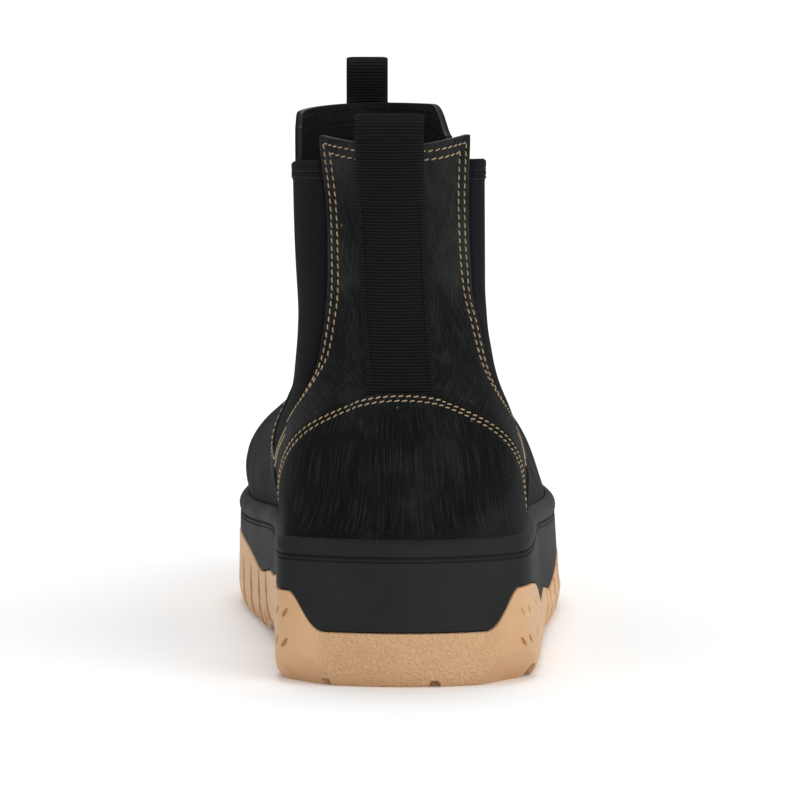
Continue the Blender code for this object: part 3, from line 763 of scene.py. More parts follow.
@dataclass(frozen=True)
class Thread:
    """Twisted sewing thread, its plies slanted across the stitch."""

    name: str
    dark: Colour
    light: Colour

    def material(self) -> bpy.types.Material:
        """Ply lines are a sine of both UV directions.

        Returns:
            The material.
        """
        s = Shader(self.name, Roughness=0.65, Sheen_Weight=0.03, Specular_IOR_Level=0.15)
        axes = s.add("SeparateXYZ", {0: s.add("TexCoord").outputs["UV"]})
        along = s.math("MULTIPLY", axes.outputs[0], 2 * math.pi)
        phase = s.math("ADD", along, s.math("MULTIPLY", axes.outputs[1], 6 * math.pi))
        ply = s.math("ADD", s.math("MULTIPLY", s.math("SINE", phase), 0.5), 0.5)
        tone = s.noise(s.space(False, (1.0, 1.0, 1.0)), 260.0)
        # Painted light and shade: the colour is darker in the grooves between the plies and lighter on their
        # crests, following the same sine as the bump; the noise adds the thread's own uneven tone.
        share = s.math("ADD", s.math("MULTIPLY", ply, 0.6), s.ramp(tone, 0.3, 0.7, 0.0, 0.4))
        return s.wear(s.mix(share, (*self.dark, 1.0), (*self.light, 1.0)), None, s.bump(ply, 0.00012, 0.8))


class Finishes:
    """Every finish on the boot, made once."""

    def __init__(self) -> None:
        """Builds the materials."""
        self.gum = MouldedRubber(
            "gum", (0.66, 0.415, 0.232), (0.58, 0.352, 0.190), 0.55, 0.22, pebbled=True, glow=0.08
        ).material()
        self.midsole = MouldedRubber(
            "midsole_black", (0.0250, 0.0262, 0.0264), (0.0175, 0.0186, 0.0190), 0.60, 0.035
        ).material()
        self.vamp = BrushedLeather("leather_vamp", (8.0,)).material()
        self.quarter = BrushedLeather(
            "leather_quarter", (-42.0, 30.0), light=(0.0380, 0.0392, 0.0388)
        ).material()
        self.counter = BrushedLeather("leather_counter", (0.0,), streak=1.0).material()
        self.edge = PlainHide("leather_edge", (0.0078, 0.0078, 0.0076), 0.8, 2500.0).material()
        self.lining = PlainHide("lining", (0.0090, 0.0090, 0.0095), 0.40).material()
        self.footbed = PlainHide("footbed", (0.016, 0.016, 0.017), 0.7, 1500.0).material()
        # The elastic's and webbing's dark colours are painted shade between their yarns, their light colours
        # the lit yarn crests.
        self.elastic = WovenTape(
            "elastic", (0.0034, 0.0036, 0.0046), (0.0140, 0.0144, 0.0165), 0.0012, 0.0007, 0.00008, 0.03
        ).material()
        self.webbing = WovenTape(
            "webbing", (0.0012, 0.0014, 0.0016), (0.0125, 0.0145, 0.0150), 0.00052, 0.00097
        ).material()
        # Each thread's dark colour is painted shade in its ply grooves, its light colour the thread's own
        # colour on the lit ply crests.
        self.tan = Thread("thread_tan", (0.24, 0.170, 0.090), (0.56, 0.43, 0.265)).material()
        self.black = Thread("thread_black", (0.0015, 0.0015, 0.0015), (0.006, 0.006, 0.006)).material()


def place(obj: bpy.types.Object, slot: str | None, *materials: bpy.types.Material,
          stands_for: str = "") -> None:
    """Dresses a piece, lets it ride on the boot and hides the CAD node that it stands for.

    Args:
        obj: The piece.
        slot: Material slot's plain name, if it has one. Not used.
        materials: Its materials, in the order of their slots.
        stands_for: CAD node that it replaces.
    """
    for material in materials:
        obj.data.materials.append(material)
    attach(obj, "root")
    if stands_for:
        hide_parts(stands_for)
    log.info("%s: %d faces", obj.name, len(obj.data.polygons))


@dataclass
class StitchRow:
    """Stitches sewn along a line on a surface.

    Attributes:
        points: Points of the line.
        normals: Directions out of the surface.
        pitch: Length of a stitch and its gap.
        radius: Radius of the thread.
        fill: Share of the pitch that a stitch takes.
        slant: How far its ends lie to the sides of the line.
    """

    points: Array
    normals: Array
    pitch: float = 0.0024
    radius: float = 0.00025
    fill: float = 0.88
    slant: float = 0.00022

    RINGS = 7
    SIDES = 6

    def read(self, values: Array, at: Array, where: Array) -> Array:
        """Rows of values at running lengths, read at other lengths."""
        return np.stack([np.interp(where, at, column) for column in values.T], axis=-1)

    def mesh(self) -> tuple[Array, Array, Array]:
        """Makes the stitches: each is a tube that rises out of the surface and dives at both ends.

        Returns:
            Vertices, faces and one UV place a vertex.
        """
        at = arc_lengths(self.points)
        count = max(int(at[-1] / self.pitch), 1)
        middle = (np.arange(count) + 0.5) * at[-1] / count
        tau = np.linspace(-1.0, 1.0, self.RINGS)
        half = self.pitch * self.fill / 2
        where = np.clip(middle[:, None] + tau * half, 0.0, at[-1])
        spine = self.read(self.points, at, where)
        normal = self.read(self.normals, at, where)
        normal /= np.linalg.norm(normal, axis=-1)[..., None]
        along = self.read(self.points, at, middle + half) - self.read(self.points, at, middle - half)
        along = (along / np.linalg.norm(along, axis=-1)[:, None])[:, None, :]
        across = np.cross(normal, along)
        lift = self.radius * (0.55 - 1.9 * np.abs(tau) ** 3)
        spine = spine + normal * lift[:, None] + across * (self.slant * tau)[:, None]
        thick = self.radius * (1.0 - 0.45 * np.abs(tau) ** 4)
        angle = np.arange(self.SIDES) * 2 * math.pi / self.SIDES
        ring = normal[:, :, None] * np.sin(angle)[:, None] + across[:, :, None] * np.cos(angle)[:, None]
        points = (spine[:, :, None] + ring * thick[:, None, None]).reshape(-1, 3)
        size = self.RINGS * self.SIDES
        one = grid_faces(self.RINGS, self.SIDES, closed=True)[:, ::-1]
        low = np.array(((0, 1, 2, 3), (0, 3, 4, 5)))
        one = np.concatenate((one, low, (low + size - self.SIDES)[:, ::-1]))
        faces = (one[None] + (np.arange(count) * size)[:, None, None]).reshape(-1, 4)
        around = (angle / (2 * math.pi))[None]
        uv = np.stack(np.broadcast_arrays(tau[:, None], around), axis=-1).reshape(-1, 2)
        return points, faces, np.tile(uv, (count, 1))


def sew(name: str, rows: list[StitchRow], material: bpy.types.Material) -> None:
    """Joins rows of stitches into one piece.

    Args:
        name: Name of the piece.
        rows: The rows.
        material: The thread.
    """
    points, faces, uv, start = [], [], [], 0
    for row in rows:
        p, f, t = row.mesh()
        points.append(p)
        faces.append(f + start)
        uv.append(t)
        start += len(p)
    obj = make_object(name, np.concatenate(points), np.concatenate(faces), np.concatenate(uv), sharp=80.0)
    place(obj, None, material)


@dataclass(frozen=True)
class Crease:
    """A soft trough in the leather, with a low ridge on each side: path in metres, depth and width."""

    path: tuple[tuple[float, float, float], ...]
    depth: float
    width: float

    def press(self, points: Array) -> Array:
        """Offsets along the normal from the distance to the path, faded towards its ends.

        Args:
            points: Points on the boot's surface.

        Returns:
            An offset a point.
        """
        path = np.array(self.path)
        flat = points.reshape(-1, 3)
        nearest = np.full(len(flat), 1e9)
        for start, end in zip(path, path[1:]):
            run = end - start
            share = np.clip((flat - start) @ run / (run @ run), 0.0, 1.0)
            nearest = np.minimum(nearest, np.linalg.norm(flat - start - share[:, None] * run, axis=1))
        x = nearest / self.width
        shape = -np.exp(-(x**2)) + 0.55 * np.exp(-((x - 1.9) ** 2))
        ends = np.minimum(
            np.linalg.norm(flat - path[0], axis=1), np.linalg.norm(flat - path[-1], axis=1)
        )
        return (self.depth * shape * (0.35 + 0.65 * smooth(ends / 0.015))).reshape(points.shape[:-1])


# Main creases: across the flex of the vamp, round the ankle's front and beside the gores
CREASES = (
    Crease(
        ((-0.047, 0.050, 0.050), (-0.030, 0.044, 0.073), (-0.006, 0.040, 0.084),
         (0.016, 0.044, 0.076), (0.034, 0.052, 0.055)), 0.0009, 0.0040,
    ),
    Crease(
        ((-0.042, 0.022, 0.062), (-0.022, 0.020, 0.086), (-0.004, 0.018, 0.093), (0.018, 0.022, 0.082)),
        0.0007, 0.0035,
    ),
    Crease(
        ((-0.032, -0.026, 0.098), (-0.014, -0.016, 0.112), (0.002, -0.018, 0.113), (0.016, -0.028, 0.100)),
        0.0008, 0.0045,
    ),
    Crease(((-0.034, -0.034, 0.084), (-0.020, -0.006, 0.100), (-0.004, 0.000, 0.103)), 0.0006, 0.0035),
    Crease(((0.030, -0.030, 0.078), (0.020, -0.006, 0.094), (0.008, 0.000, 0.100)), 0.0006, 0.0035),
    Crease(((-0.046, -0.020, 0.060), (-0.049, 0.005, 0.054), (-0.050, 0.028, 0.050)), 0.0007, 0.0045),
    Crease(((0.038, -0.030, 0.062), (0.041, -0.008, 0.055), (0.044, 0.015, 0.050)), 0.0006, 0.0045),
    Crease(((-0.030, -0.118, 0.112), (-0.036, -0.100, 0.106), (-0.040, -0.080, 0.099)), 0.0005, 0.0040),
    Crease(((0.024, -0.116, 0.118), (0.032, -0.098, 0.110), (0.037, -0.078, 0.100)), 0.0005, 0.0040),
)
# Distances of a panel's first columns from its border: over the rounded edge and the two sewn rows
COLUMN_STEPS = np.array((
    0.0, 0.00012, 0.0003, 0.0006, 0.0010, 0.0015, 0.0019,
    0.0023, 0.0030, 0.0036, 0.0041, 0.0046, 0.0056, 0.0070,
))
SEAM_ROWS = (0.0019, 0.0041)
SEAM_WIDTH = 0.0004


@dataclass
class Panel:
    """A leather piece cut to a region of the boot, between a left and a right edge from foot to top.

    Attributes:
        form: The boot's surface.
        left: Turn and height of the left edge, from foot to top.
        right: The same of the right edge.
        columns: Columns between the borders.
        rows: Rows between the borders.
        top: Change of the top edge's height in metres, for shares across.
        lift: Offset of the outer face in metres, for shares across and up.
        thick: Thickness of the leather.
        edge_radius: Radius of the outer face's rounded border.
        widths: Width at even shares up.
        heights: Height at even shares across.
    """

    EVEN = np.linspace(0, 1, 61)
    TROUGH = 0.00022
    SUNK = 0.00018

    form: BootForm
    left: Array
    right: Array
    columns: int
    rows: int
    top: Callable[[Array], Array]
    lift: Callable[[Array, Array], Array] | None = None
    thick: float = WALL
    edge_radius: float = 0.0006
    widths: Array = field(init=False)
    heights: Array = field(init=False)

    def __post_init__(self) -> None:
        """Measures the panel's width at each height and its height at each place across."""
        s, t = np.meshgrid(self.EVEN, self.EVEN)
        points = self.form.base(*self.region(s, t))
        self.widths = np.linalg.norm(np.diff(points, axis=1), axis=2).sum(axis=1)
        self.heights = np.linalg.norm(np.diff(points, axis=0), axis=2).sum(axis=0)

    def region(self, s: Array, t: Array) -> tuple[Array, Array]:
        """Turn and height: straight between the edges, and evenly spaced in the middle.

        Args:
            s: Shares across.
            t: Shares up.

        Returns:
            Turns and heights.
        """
        at = np.linspace(0, 1, len(self.left))
        ul, vl = (np.interp(t, at, self.left[:, i]) for i in (0, 1))
        ur, vr = (np.interp(t, at, self.right[:, i]) for i in (0, 1))
        weight = 1.0 - np.abs(2 * s - 1) ** 2.5
        middle = blend(self.left[0, 1], self.left[-1, 1], t)
        v = blend(vl, vr, s) + (middle - (vl + vr) / 2) * weight + self.top(s) / self.form.length * t**6
        return blend(ul, ur, s), v

    def grid(self) -> tuple[Array, Array, Array, Array]:
        """Shares across and up of the panel's vertices, with set distances from the borders.

        Returns:
            Shares across, shares up, distances from the left edge and distances from the top.
        """
        near, last = COLUMN_STEPS, COLUMN_STEPS[-1]
        inner = np.linspace(0, 1, self.rows + 1)[:-1]
        width_at = np.interp(np.concatenate((inner, np.ones(len(near)))), self.EVEN, self.widths)
        columns = []
        for width in width_at:
            squeeze = min(1.0, 0.42 * width / last)
            a = near * squeeze / width
            inside = np.linspace(a[-1], 1 - a[-1], self.columns + 2)[1:-1]
            columns.append(np.concatenate((a, inside, 1 - a[::-1])))
        s = np.array(columns)
        height_at = np.interp(s[-1], self.EVEN, self.heights)
        b = 1 - near[::-1][:, None] / height_at[None]
        t = np.concatenate((inner[:, None] * b[0], b))
        left = np.concatenate((near, np.full(self.columns + len(near), last)))
        top = np.concatenate((np.full(self.rows, last), near[::-1]))
        return s, t, np.broadcast_to(left, s.shape), np.broadcast_to(top[:, None], s.shape)

    def offset(self, s: Array, t: Array, side: Array, top: Array, points: Array) -> Array:
        """Height of the outer face over the boot's surface: lift, rounded borders, sewn rows and creases.

        Args:
            s: Shares across.
            t: Shares up.
            side: Distances from the left edge.
            top: Distances from the top edge.
            points: Points of the surface.

        Returns:
            A height a vertex.
        """
        left, right = side, side[:, ::-1]
        nearest = np.minimum(np.minimum(left, right), top)
        r = self.edge_radius
        height = -(r - np.sqrt(np.maximum(r * r - np.maximum(r - nearest, 0.0) ** 2, 0.0)))
        for row in SEAM_ROWS:
            height = height - self.TROUGH * np.exp(-(((nearest - row) / SEAM_WIDTH) ** 2))
        height = height + self.raised(s, t)
        for crease in CREASES:
            height = height + crease.press(points)
        return height

    def raised(self, s: Array, t: Array) -> Array:
        """The lift at these shares, or zeros for a panel that has none."""
        return self.lift(s, t) if self.lift is not None else np.zeros(np.shape(s))

    def build(self, name: str) -> bpy.types.Object:
        """Makes the closed piece: outer face, cut edge in two strips and lining face.

        Args:
            name: Name of the piece.

        Returns:
            The object, with slots for face, cut edge and lining.
        """
        s, t, side, top = self.grid()
        u, v = self.region(s, t)
        base, normal = self.form.base(u, v), self.form.normal(u, v)
        height = self.offset(s, t, side, top, base)
        outer = base + normal * height[..., None]
        inner = base + normal * (self.raised(s, t) - self.thick)[..., None]
        rows, columns = s.shape
        size = rows * columns
        loop = border_loop(rows, columns)
        between = blend(outer.reshape(-1, 3)[loop], inner.reshape(-1, 3)[loop], 0.5)
        points = np.concatenate((outer.reshape(-1, 3), inner.reshape(-1, 3), between))
        front = grid_faces(rows, columns)
        back = front[:, ::-1] + size
        mid = 2 * size + np.arange(len(loop))
        rim_out = np.column_stack((loop, mid, np.roll(mid, -1), np.roll(loop, -1)))
        rim_in = np.column_stack((mid, loop + size, np.roll(loop + size, -1), np.roll(mid, -1)))
        faces = np.concatenate((front, back, rim_out, rim_in))
        slots = np.repeat((0, 2, 1, 2), (len(front), len(back), len(rim_out), len(rim_in)))
        across = (s - 0.5) * self.widths.mean()
        uv = np.stack((across, t * self.heights.mean()), axis=-1).reshape(-1, 2)
        uv = np.concatenate((uv, uv, uv[loop]))
        return make_object(name, points, faces, uv, slots)

    def edge_row(self, right: bool, distance: float, start: float, end: float) -> StitchRow:
        """Stitches at a distance from a side edge, between two shares up.

        Args:
            right: Whether it is the right edge.
            distance: Distance from the edge.
            start: First share up.
            end: Last share up.

        Returns:
            The row.
        """
        t = np.linspace(start, end, 240)
        s = distance / np.interp(t, self.EVEN, self.widths)
        return self.row(1 - s if right else s, t)

    def top_row(self, distance: float, start: float, end: float, inside: bool = False) -> StitchRow:
        """Stitches at a distance under the top edge, between two shares across.

        Args:
            distance: Distance from the edge.
            start: First share across.
            end: Last share across.
            inside: Whether it is on the inner face.

        Returns:
            The row.
        """
        s = np.linspace(start, end, 120)
        return self.row(s, 1 - distance / np.interp(s, self.EVEN, self.heights), inside)

    def row(self, s: Array, t: Array, inside: bool = False) -> StitchRow:
        """Stitches along shares across and up, on the outer or the inner face.

        Args:
            s: Shares across.
            t: Shares up.
            inside: Whether it is the inner face.

        Returns:
            The row.
        """
        u, v = self.region(s, t)
        base, normal = self.form.base(u, v), self.form.normal(u, v)
        lifted = self.raised(s, t)
        for crease in CREASES:
            lifted = lifted + crease.press(base)
        height = lifted - self.SUNK
        if inside:
            height, normal = -(lifted - self.thick), -normal
        return StitchRow(base + normal * np.reshape(height, (-1, 1)), normal)


class Upper:
    """The leather upper: back quarter, one-piece vamp and front, heel counter and the two gores."""

    REAR_SHIFT = {Side.MEDIAL: 0.0024, Side.LATERAL: 0.0044}
    FRONT_SHIFT = {Side.MEDIAL: 0.0080, Side.LATERAL: 0.0010}
    TURN_RISE = 0.265
    QUARTER_RISE = 0.243
    COLLAR_ROWS = (0.0022, 0.0062)

    def __init__(self, form: BootForm, finishes: Finishes) -> None:
        """Finds the seams on the surface.

        Args:
            form: The boot's surface.
            finishes: The materials.
        """
        self.form, self.finishes = form, finishes
        self.seams = {side: self.seam_parts(side) for side in Side}

    def gore_outline(self, side: Side) -> tuple[Array, int]:
        """The gore's U from the side, with the shifts of its branches, and the number of its lowest point.

        Args:
            side: Side of the foot.

        Returns:
            Points (y, z) and the number.
        """
        outline = side_curve(GORE_OUTLINE, GORE_BELLY if side is Side.LATERAL else 0.0, 400)
        lowest = int(np.argmin(outline[:, 1]))
        rise = (outline[:, 1] - HEEL_HEIGHT) / SHAFT_RISE
        outline[:lowest, 0] += self.REAR_SHIFT[side] * smooth((rise[:lowest] - 0.33) / 0.2)
        outline[lowest:, 0] -= self.FRONT_SHIFT[side] * smooth((rise[lowest:] - 0.72) / 0.2)
        return outline, lowest

    def turn_row(self, side: Side, distance: float) -> StitchRow:
        """Stitches round the foot of the gore's U: its outline from the side, moved outwards.

        Args:
            side: Side of the foot.
            distance: Distance from the outline.

        Returns:
            The row.
        """
        outline, _ = self.gore_outline(side)
        along = np.gradient(outline, axis=0)
        along /= np.linalg.norm(along, axis=1)[:, None]
        row = outline + distance * np.column_stack((along[:, 1], -along[:, 0]))
        rise = (outline[:, 1] - HEEL_HEIGHT) / SHAFT_RISE
        row = row[(rise < self.TURN_RISE) & (np.arange(400) > 60)]
        u, v = self.form.find(side, row).T
        base, normal = self.form.base(u, v), self.form.normal(u, v)
        height = sum(crease.press(base) for crease in CREASES) - 0.00010
        return StitchRow(base + normal * height[:, None], normal)

    def share_at(self, edge: Array, rise: float) -> float:
        """Share along an edge where it passes a rise on its way up."""
        heights = np.maximum.accumulate(self.form.base(edge[:, 0], edge[:, 1])[:, 2])
        return float(np.interp(HEEL_HEIGHT + rise * SHAFT_RISE, heights, np.linspace(0, 1, len(edge))))

    def seam_parts(self, side: Side) -> dict[str, Array]:
        """Turn and height of the vamp seam, the gore's rear branch and its front branch.

        Args:
            side: Side of the foot.

        Returns:
            Each part from its foot up, by name.
        """
        outline, lowest = self.gore_outline(side)
        collar = HEEL_HEIGHT + SHAFT_RISE
        rear = outline[: lowest + 1]
        rear = rear[rear[:, 1] < collar - 0.0005][::-1]
        front = outline[lowest:]
        front = front[front[:, 1] < collar + 0.0035]
        vamp = side_curve(VAMP_SEAM, 0.0, 40)[::-1]
        vamp[:, 0] += outline[lowest, 0] - vamp[-1, 0]
        met = vamp[:, 1] + outline[lowest, 1] - vamp[-1, 1]
        vamp[:, 1] = blend(vamp[:, 1], met, smooth((vamp[:, 1] - HEEL_HEIGHT) / 0.015))
        parts = {}
        for name, line in (("vamp", vamp), ("rear", rear), ("front", front)):
            found = self.form.find(side, line)
            if name == "vamp":
                found = np.concatenate(([[found[0, 0], -LIP / self.form.length]], found[found[:, 1] > 0.0]))
            else:
                found = np.concatenate((found, [[found[-1, 0], 1.0]]))
            parts[name] = found
        return parts

    def build(self) -> None:
        """Builds every piece of the upper and its threads."""
        f = self.finishes
        lateral, medial = self.seams[Side.LATERAL], self.seams[Side.MEDIAL]
        wrap = np.array((1.0, 0.0))
        quarter = Panel(
            self.form,
            self.form.resample(np.concatenate((medial["vamp"], medial["rear"]))) - wrap,
            self.form.resample(np.concatenate((lateral["vamp"], lateral["rear"]))),
            110, 120, self.back_top,
        )
        obj = quarter.build("back_quarter")
        place(obj, "black_leather", f.quarter, f.edge, f.lining, stands_for="upper")
        vamp = Panel(
            self.form,
            self.form.resample(np.concatenate((lateral["vamp"], lateral["front"]))),
            self.form.resample(np.concatenate((medial["vamp"], medial["front"]))),
            250, 130, self.front_top, self.vamp_lift,
        )
        place(vamp.build("vamp_and_front"), "black_leather", f.vamp, f.edge, f.lining)

        counter = self.counter()
        obj = counter.build("heel_counter_cover")
        place(obj, "black_leather", f.counter, f.edge, f.edge, stands_for="heel_counter")
        sew("tan_stitches", self.tan_rows(quarter, vamp, counter), f.tan)
        both = (False, True)
        black = [vamp.top_row(drop, 0.06, 0.95, inside) for inside in both for drop in self.COLLAR_ROWS]
        black += [vamp.edge_row(right, row, 0.02, 0.20) for right in both for row in SEAM_ROWS]
        for side in Side:
            black += Gore(self.form, side, self.seams[side]).build(f.elastic)
        sew("black_stitches", black, f.black)

    def back_top(self, s: Array) -> Array:
        """Top line of the back quarter: a shallow hollow behind the strap."""
        return 0.0010 * smooth((np.abs(s - 0.53) - 0.16) / 0.25) - 0.0021

    def front_top(self, s: Array) -> Array:
        """Top line of the front: both corners cut down, the lateral one further, and a slight tilt."""
        lateral_cut = -0.0090 * smooth((0.16 - s) / 0.16) ** 1.4
        medial_cut = -0.0045 * smooth((s - 0.94) / 0.06) ** 1.5
        return lateral_cut + medial_cut + 0.0016 * (0.5 - s)

    def vamp_lift(self, s: Array, t: Array) -> Array:
        """How far the vamp's foot stands proud where it laps over the quarter."""
        low = 1.0 - smooth((t - 0.16) / 0.06)
        near = np.minimum(s, 1 - s)
        return 0.0009 * low * (1.0 - smooth(near / 0.10))

    def tan_rows(self, quarter: Panel, vamp: Panel, counter: "Counter") -> list[StitchRow]:
        """Double rows along both panels' edges, the quarter's top and the counter's arch.

        Args:
            quarter: The back quarter.
            vamp: The vamp and front.
            counter: The heel counter.

        Returns:
            The rows of stitches.
        """
        tan = []
        for distance in SEAM_ROWS:
            end = 1 - distance / quarter.heights[0]
            for panel, rise, last in ((quarter, self.QUARTER_RISE, end), (vamp, self.TURN_RISE, 0.965)):
                for right, edge in ((False, panel.left), (True, panel.right)):
                    tan.append(panel.edge_row(right, distance, self.share_at(edge, rise), last))
            tan += [self.turn_row(side, distance) for side in Side]
            margin = distance / quarter.widths[-1]
            tan += [quarter.top_row(distance, margin, 1 - margin), counter.arch_row(distance)]
        return tan

    def counter(self) -> "Counter":
        """Finds the heel counter's arch: for each turn, the height where the surface meets the outline.

        Returns:
            The counter under its arch.
        """
        outline = side_curve(COUNTER_OUTLINE, 0.0, 200)
        outline = outline[outline[:, 1] > HEEL_HEIGHT]
        low, high = (self.form.find(side, outline[-1:])[0, 0] for side in (Side.MEDIAL, Side.LATERAL))
        turns = np.linspace(low - 1.0, high, 401)
        floor, roof = np.zeros(401), np.ones(401)
        for _ in range(30):
            middle = (floor + roof) / 2
            here = self.form.base(turns, middle)
            over = here[:, 2] > np.interp(here[:, 1], outline[:, 0], outline[:, 1])
            roof, floor = np.where(over, middle, roof), np.where(over, floor, middle)
        arch = self.form.resample(np.column_stack((turns, floor)), 301)
        return Counter(self.form, arch, -LIP / self.form.length)


@dataclass
class Counter:
    """The heel counter: a shield from the foot up to an arch round the back of the heel.

    Attributes:
        form: The boot's surface.
        arch: Turn and height of its upper edge.
        foot: Height of its foot line, as a share.
        proud: How far its face stands off the surface.
        gap: How far its back does.
        edge_radius: Radius of the arch's rounded edge.
        trough: Depth of the sewn rows.
    """

    form: BootForm
    arch: Array
    foot: float
    proud: float = 0.0012
    gap: float = 0.0003
    edge_radius: float = 0.0007
    trough: float = 0.00025

    def region(self, s: Array, t: Array) -> tuple[Array, Array]:
        """Turn and height: straight from the foot line to the arch at each share along both.

        Args:
            s: Shares across.
            t: Shares up.

        Returns:
            Turns and heights.
        """
        at = np.linspace(0, 1, len(self.arch))
        ua, va = (np.interp(s, at, self.arch[:, i]) for i in (0, 1))
        base = blend(self.arch[0, 0], self.arch[-1, 0], s)
        return blend(base, ua, t), blend(self.foot, va, t)

    def heights(self, s: Array) -> Array:
        """Length from foot to arch at shares along.

        Args:
            s: Shares along.

        Returns:
            The lengths.
        """
        s_all, t_all = np.meshgrid(np.linspace(0, 1, 121), np.linspace(0, 1, 41))
        points = self.form.base(*self.region(s_all, t_all))
        lengths = np.linalg.norm(np.diff(points, axis=0), axis=2).sum(axis=0)
        return np.interp(s, np.linspace(0, 1, 121), lengths)

    def build(self, name: str) -> bpy.types.Object:
        """Closed piece with a rounded arch edge and two sewn troughs.

        Args:
            name: Name of the piece.

        Returns:
            The object.
        """
        s_line = np.linspace(0, 1, 321)
        heights = np.maximum(self.heights(s_line), 1e-4)
        near = COLUMN_STEPS
        squeeze = np.minimum(1.0, 0.8 * heights / near[-1])
        b = 1 - near[::-1][:, None] * squeeze / heights
        t = np.concatenate((np.linspace(0, 1, 91)[:-1, None] * b[0], b))
        s = np.broadcast_to(s_line, t.shape)
        distance = np.concatenate((np.full((90, 1), near[-1]), near[::-1][:, None])) * np.ones_like(t)
        u, v = self.region(s, t)
        base, normal = self.form.base(u, v), self.form.normal(u, v)
        r = self.edge_radius
        height = self.proud - (r - np.sqrt(np.maximum(r * r - np.maximum(r - distance, 0) ** 2, 0)))
        for row in SEAM_ROWS:
            height = height - self.trough * np.exp(-(((distance - row) / SEAM_WIDTH) ** 2))
        pad = 0.0003 * smooth((distance - 0.004) / 0.003) * np.sin(math.pi * np.clip(t, 0, 1)) ** 0.5
        over_strap = self.over_strap(base[..., 0], distance) * (t > 0.5)
        outer = base + normal * (height + pad + over_strap)[..., None]
        inner = base + normal * self.gap
        points, faces = shell(outer, inner)
        slots = np.arange(len(faces)) >= (s.shape[0] - 1) * (s.shape[1] - 1)
        uv = np.stack((u * 0.32, v * self.form.length), axis=-1).reshape(-1, 2)
        return make_object(name, points, faces, np.concatenate((uv, uv)), slots)

    def over_strap(self, x: Array, distance: Array) -> Array:
        """How far the arch's edge rises over the pull strap's foot, which it covers."""
        return 0.0013 * smooth((0.0145 - np.abs(x + 0.0004)) / 0.003) * smooth((0.0065 - distance) / 0.004)

    def arch_row(self, distance: float) -> StitchRow:
        """Stitches that follow the arch at a distance inside it.

        Args:
            distance: Distance from the arch.

        Returns:
            The row.
        """
        s = np.linspace(0.035, 0.965, 400)
        t = 1 - distance / self.heights(s)
        u, v = self.region(s, t)
        base, normal = self.form.base(u, v), self.form.normal(u, v)
        height = self.proud - 0.0002 + self.over_strap(base[:, 0], np.full(400, distance))
        return StitchRow(base + normal * height[:, None], normal, pitch=0.0023)


@dataclass
class Gore:
    """The ribbed elastic in a slot, with a folded hem at its top.

    Attributes:
        form: The boot's surface.
        side: Side of the foot.
        seam: Turn and height along the slot's branches.
        under: Depth of the elastic's middle under the surface.
        hem: Height of the folded hem.
        hem_lines: Drops of its sewn lines from the top.
        groove: Depth of those lines.
        top_rise: Rise of the rear end of its top.
        fall: Drop from there to its front end.
    """

    form: BootForm
    side: Side
    seam: dict[str, Array]
    under: float = 0.0012
    hem: float = 0.0058
    hem_lines: tuple[float, float] = (0.0048, 0.0027)
    groove: float = 0.0003
    top_rise: float = 0.1135
    fall: float = 0.0060

    def build(self, material: bpy.types.Material) -> list[StitchRow]:
        """Makes the elastic and returns the stitches of its hem.

        Across, a share runs from branch to branch. Up, it runs from the U's bottom to the hem. The elastic
        lies back under the leather at the seams and swells out between them.

        Args:
            material: The elastic's material.

        Returns:
            The hem's rows of stitches.
        """
        tops = (self.top_rise, self.top_rise - self.fall)
        rear, front = (self.cut(self.seam[name], rise) for name, rise in zip(("rear", "front"), tops))
        left, right = (front, rear) if self.side is Side.MEDIAL else (rear, front)
        rows, columns = 200, 90
        t = np.linspace(0, 1, rows)[:, None] * np.ones((1, columns))
        s = np.linspace(-0.04, 1.04, columns)[None] * np.ones((rows, 1))
        at = np.linspace(0, 1, len(left))
        ul, vl = (np.interp(t, at, left[:, i]) for i in (0, 1))
        ur, vr = (np.interp(t, at, right[:, i]) for i in (0, 1))
        u, v = blend(ul, ur, s), blend(vl, vr, s)
        base, normal = self.form.base(u, v), self.form.normal(u, v)
        widths = np.maximum(np.linalg.norm(np.diff(base, axis=1), axis=2).sum(axis=1), 0.002)[:, None]
        depth = np.minimum(s, 1 - s) * widths
        swell = smooth(depth / 0.004)
        face = -self.under - 0.0006 + 0.0012 * swell
        from_top = (1 - t) * np.linalg.norm(np.diff(base, axis=0), axis=2).sum(axis=0).mean()
        hem = 0.00045 * (1 - smooth((from_top - self.hem + 0.0006) / 0.0006))
        lines = [np.exp(-(((from_top - line) / SEAM_WIDTH) ** 2)) for line in self.hem_lines]
        groove = self.groove * sum(lines)
        r = 0.0007
        round_top = r - np.sqrt(np.maximum(r * r - np.maximum(r - from_top, 0) ** 2, 0))
        offset = face + hem - groove - round_top + sum(crease.press(base) for crease in CREASES)
        thick = 0.0009 + 0.0007 * (hem > 0.0002)
        outer = base + normal * offset[..., None]
        inner = base + normal * (face - thick)[..., None]
        points, faces = shell(outer, inner)
        uv = np.stack((s * widths.mean(), t * 0.11), axis=-1).reshape(-1, 2)
        name = "gore_" + self.side.value
        obj = make_object(name + "_elastic", points, faces, np.concatenate((uv, uv)))
        place(obj, "black_elastic", material, stands_for=name)
        stitches = []
        for drop in self.hem_lines:
            row = int(np.argmin(np.abs(from_top[:, 0] - drop)))
            line = slice(4, columns - 4)
            stitches.append(StitchRow((outer - normal * 0.0001)[row, line], normal[row, line]))
        return stitches

    def cut(self, line: Array, rise: float) -> Array:
        """The branch below a rise over the heel's midsole, sampled evenly.

        Args:
            line: Turns and heights of the branch.
            rise: Rise in metres.

        Returns:
            The part below it.
        """
        heights = np.maximum.accumulate(self.form.base(line[:, 0], line[:, 1])[:, 2])
        last = [[np.interp(HEEL_HEIGHT + rise, heights, line[:, i]) for i in (0, 1)]]
        return self.form.resample(np.concatenate((line[heights < HEEL_HEIGHT + rise], last)))


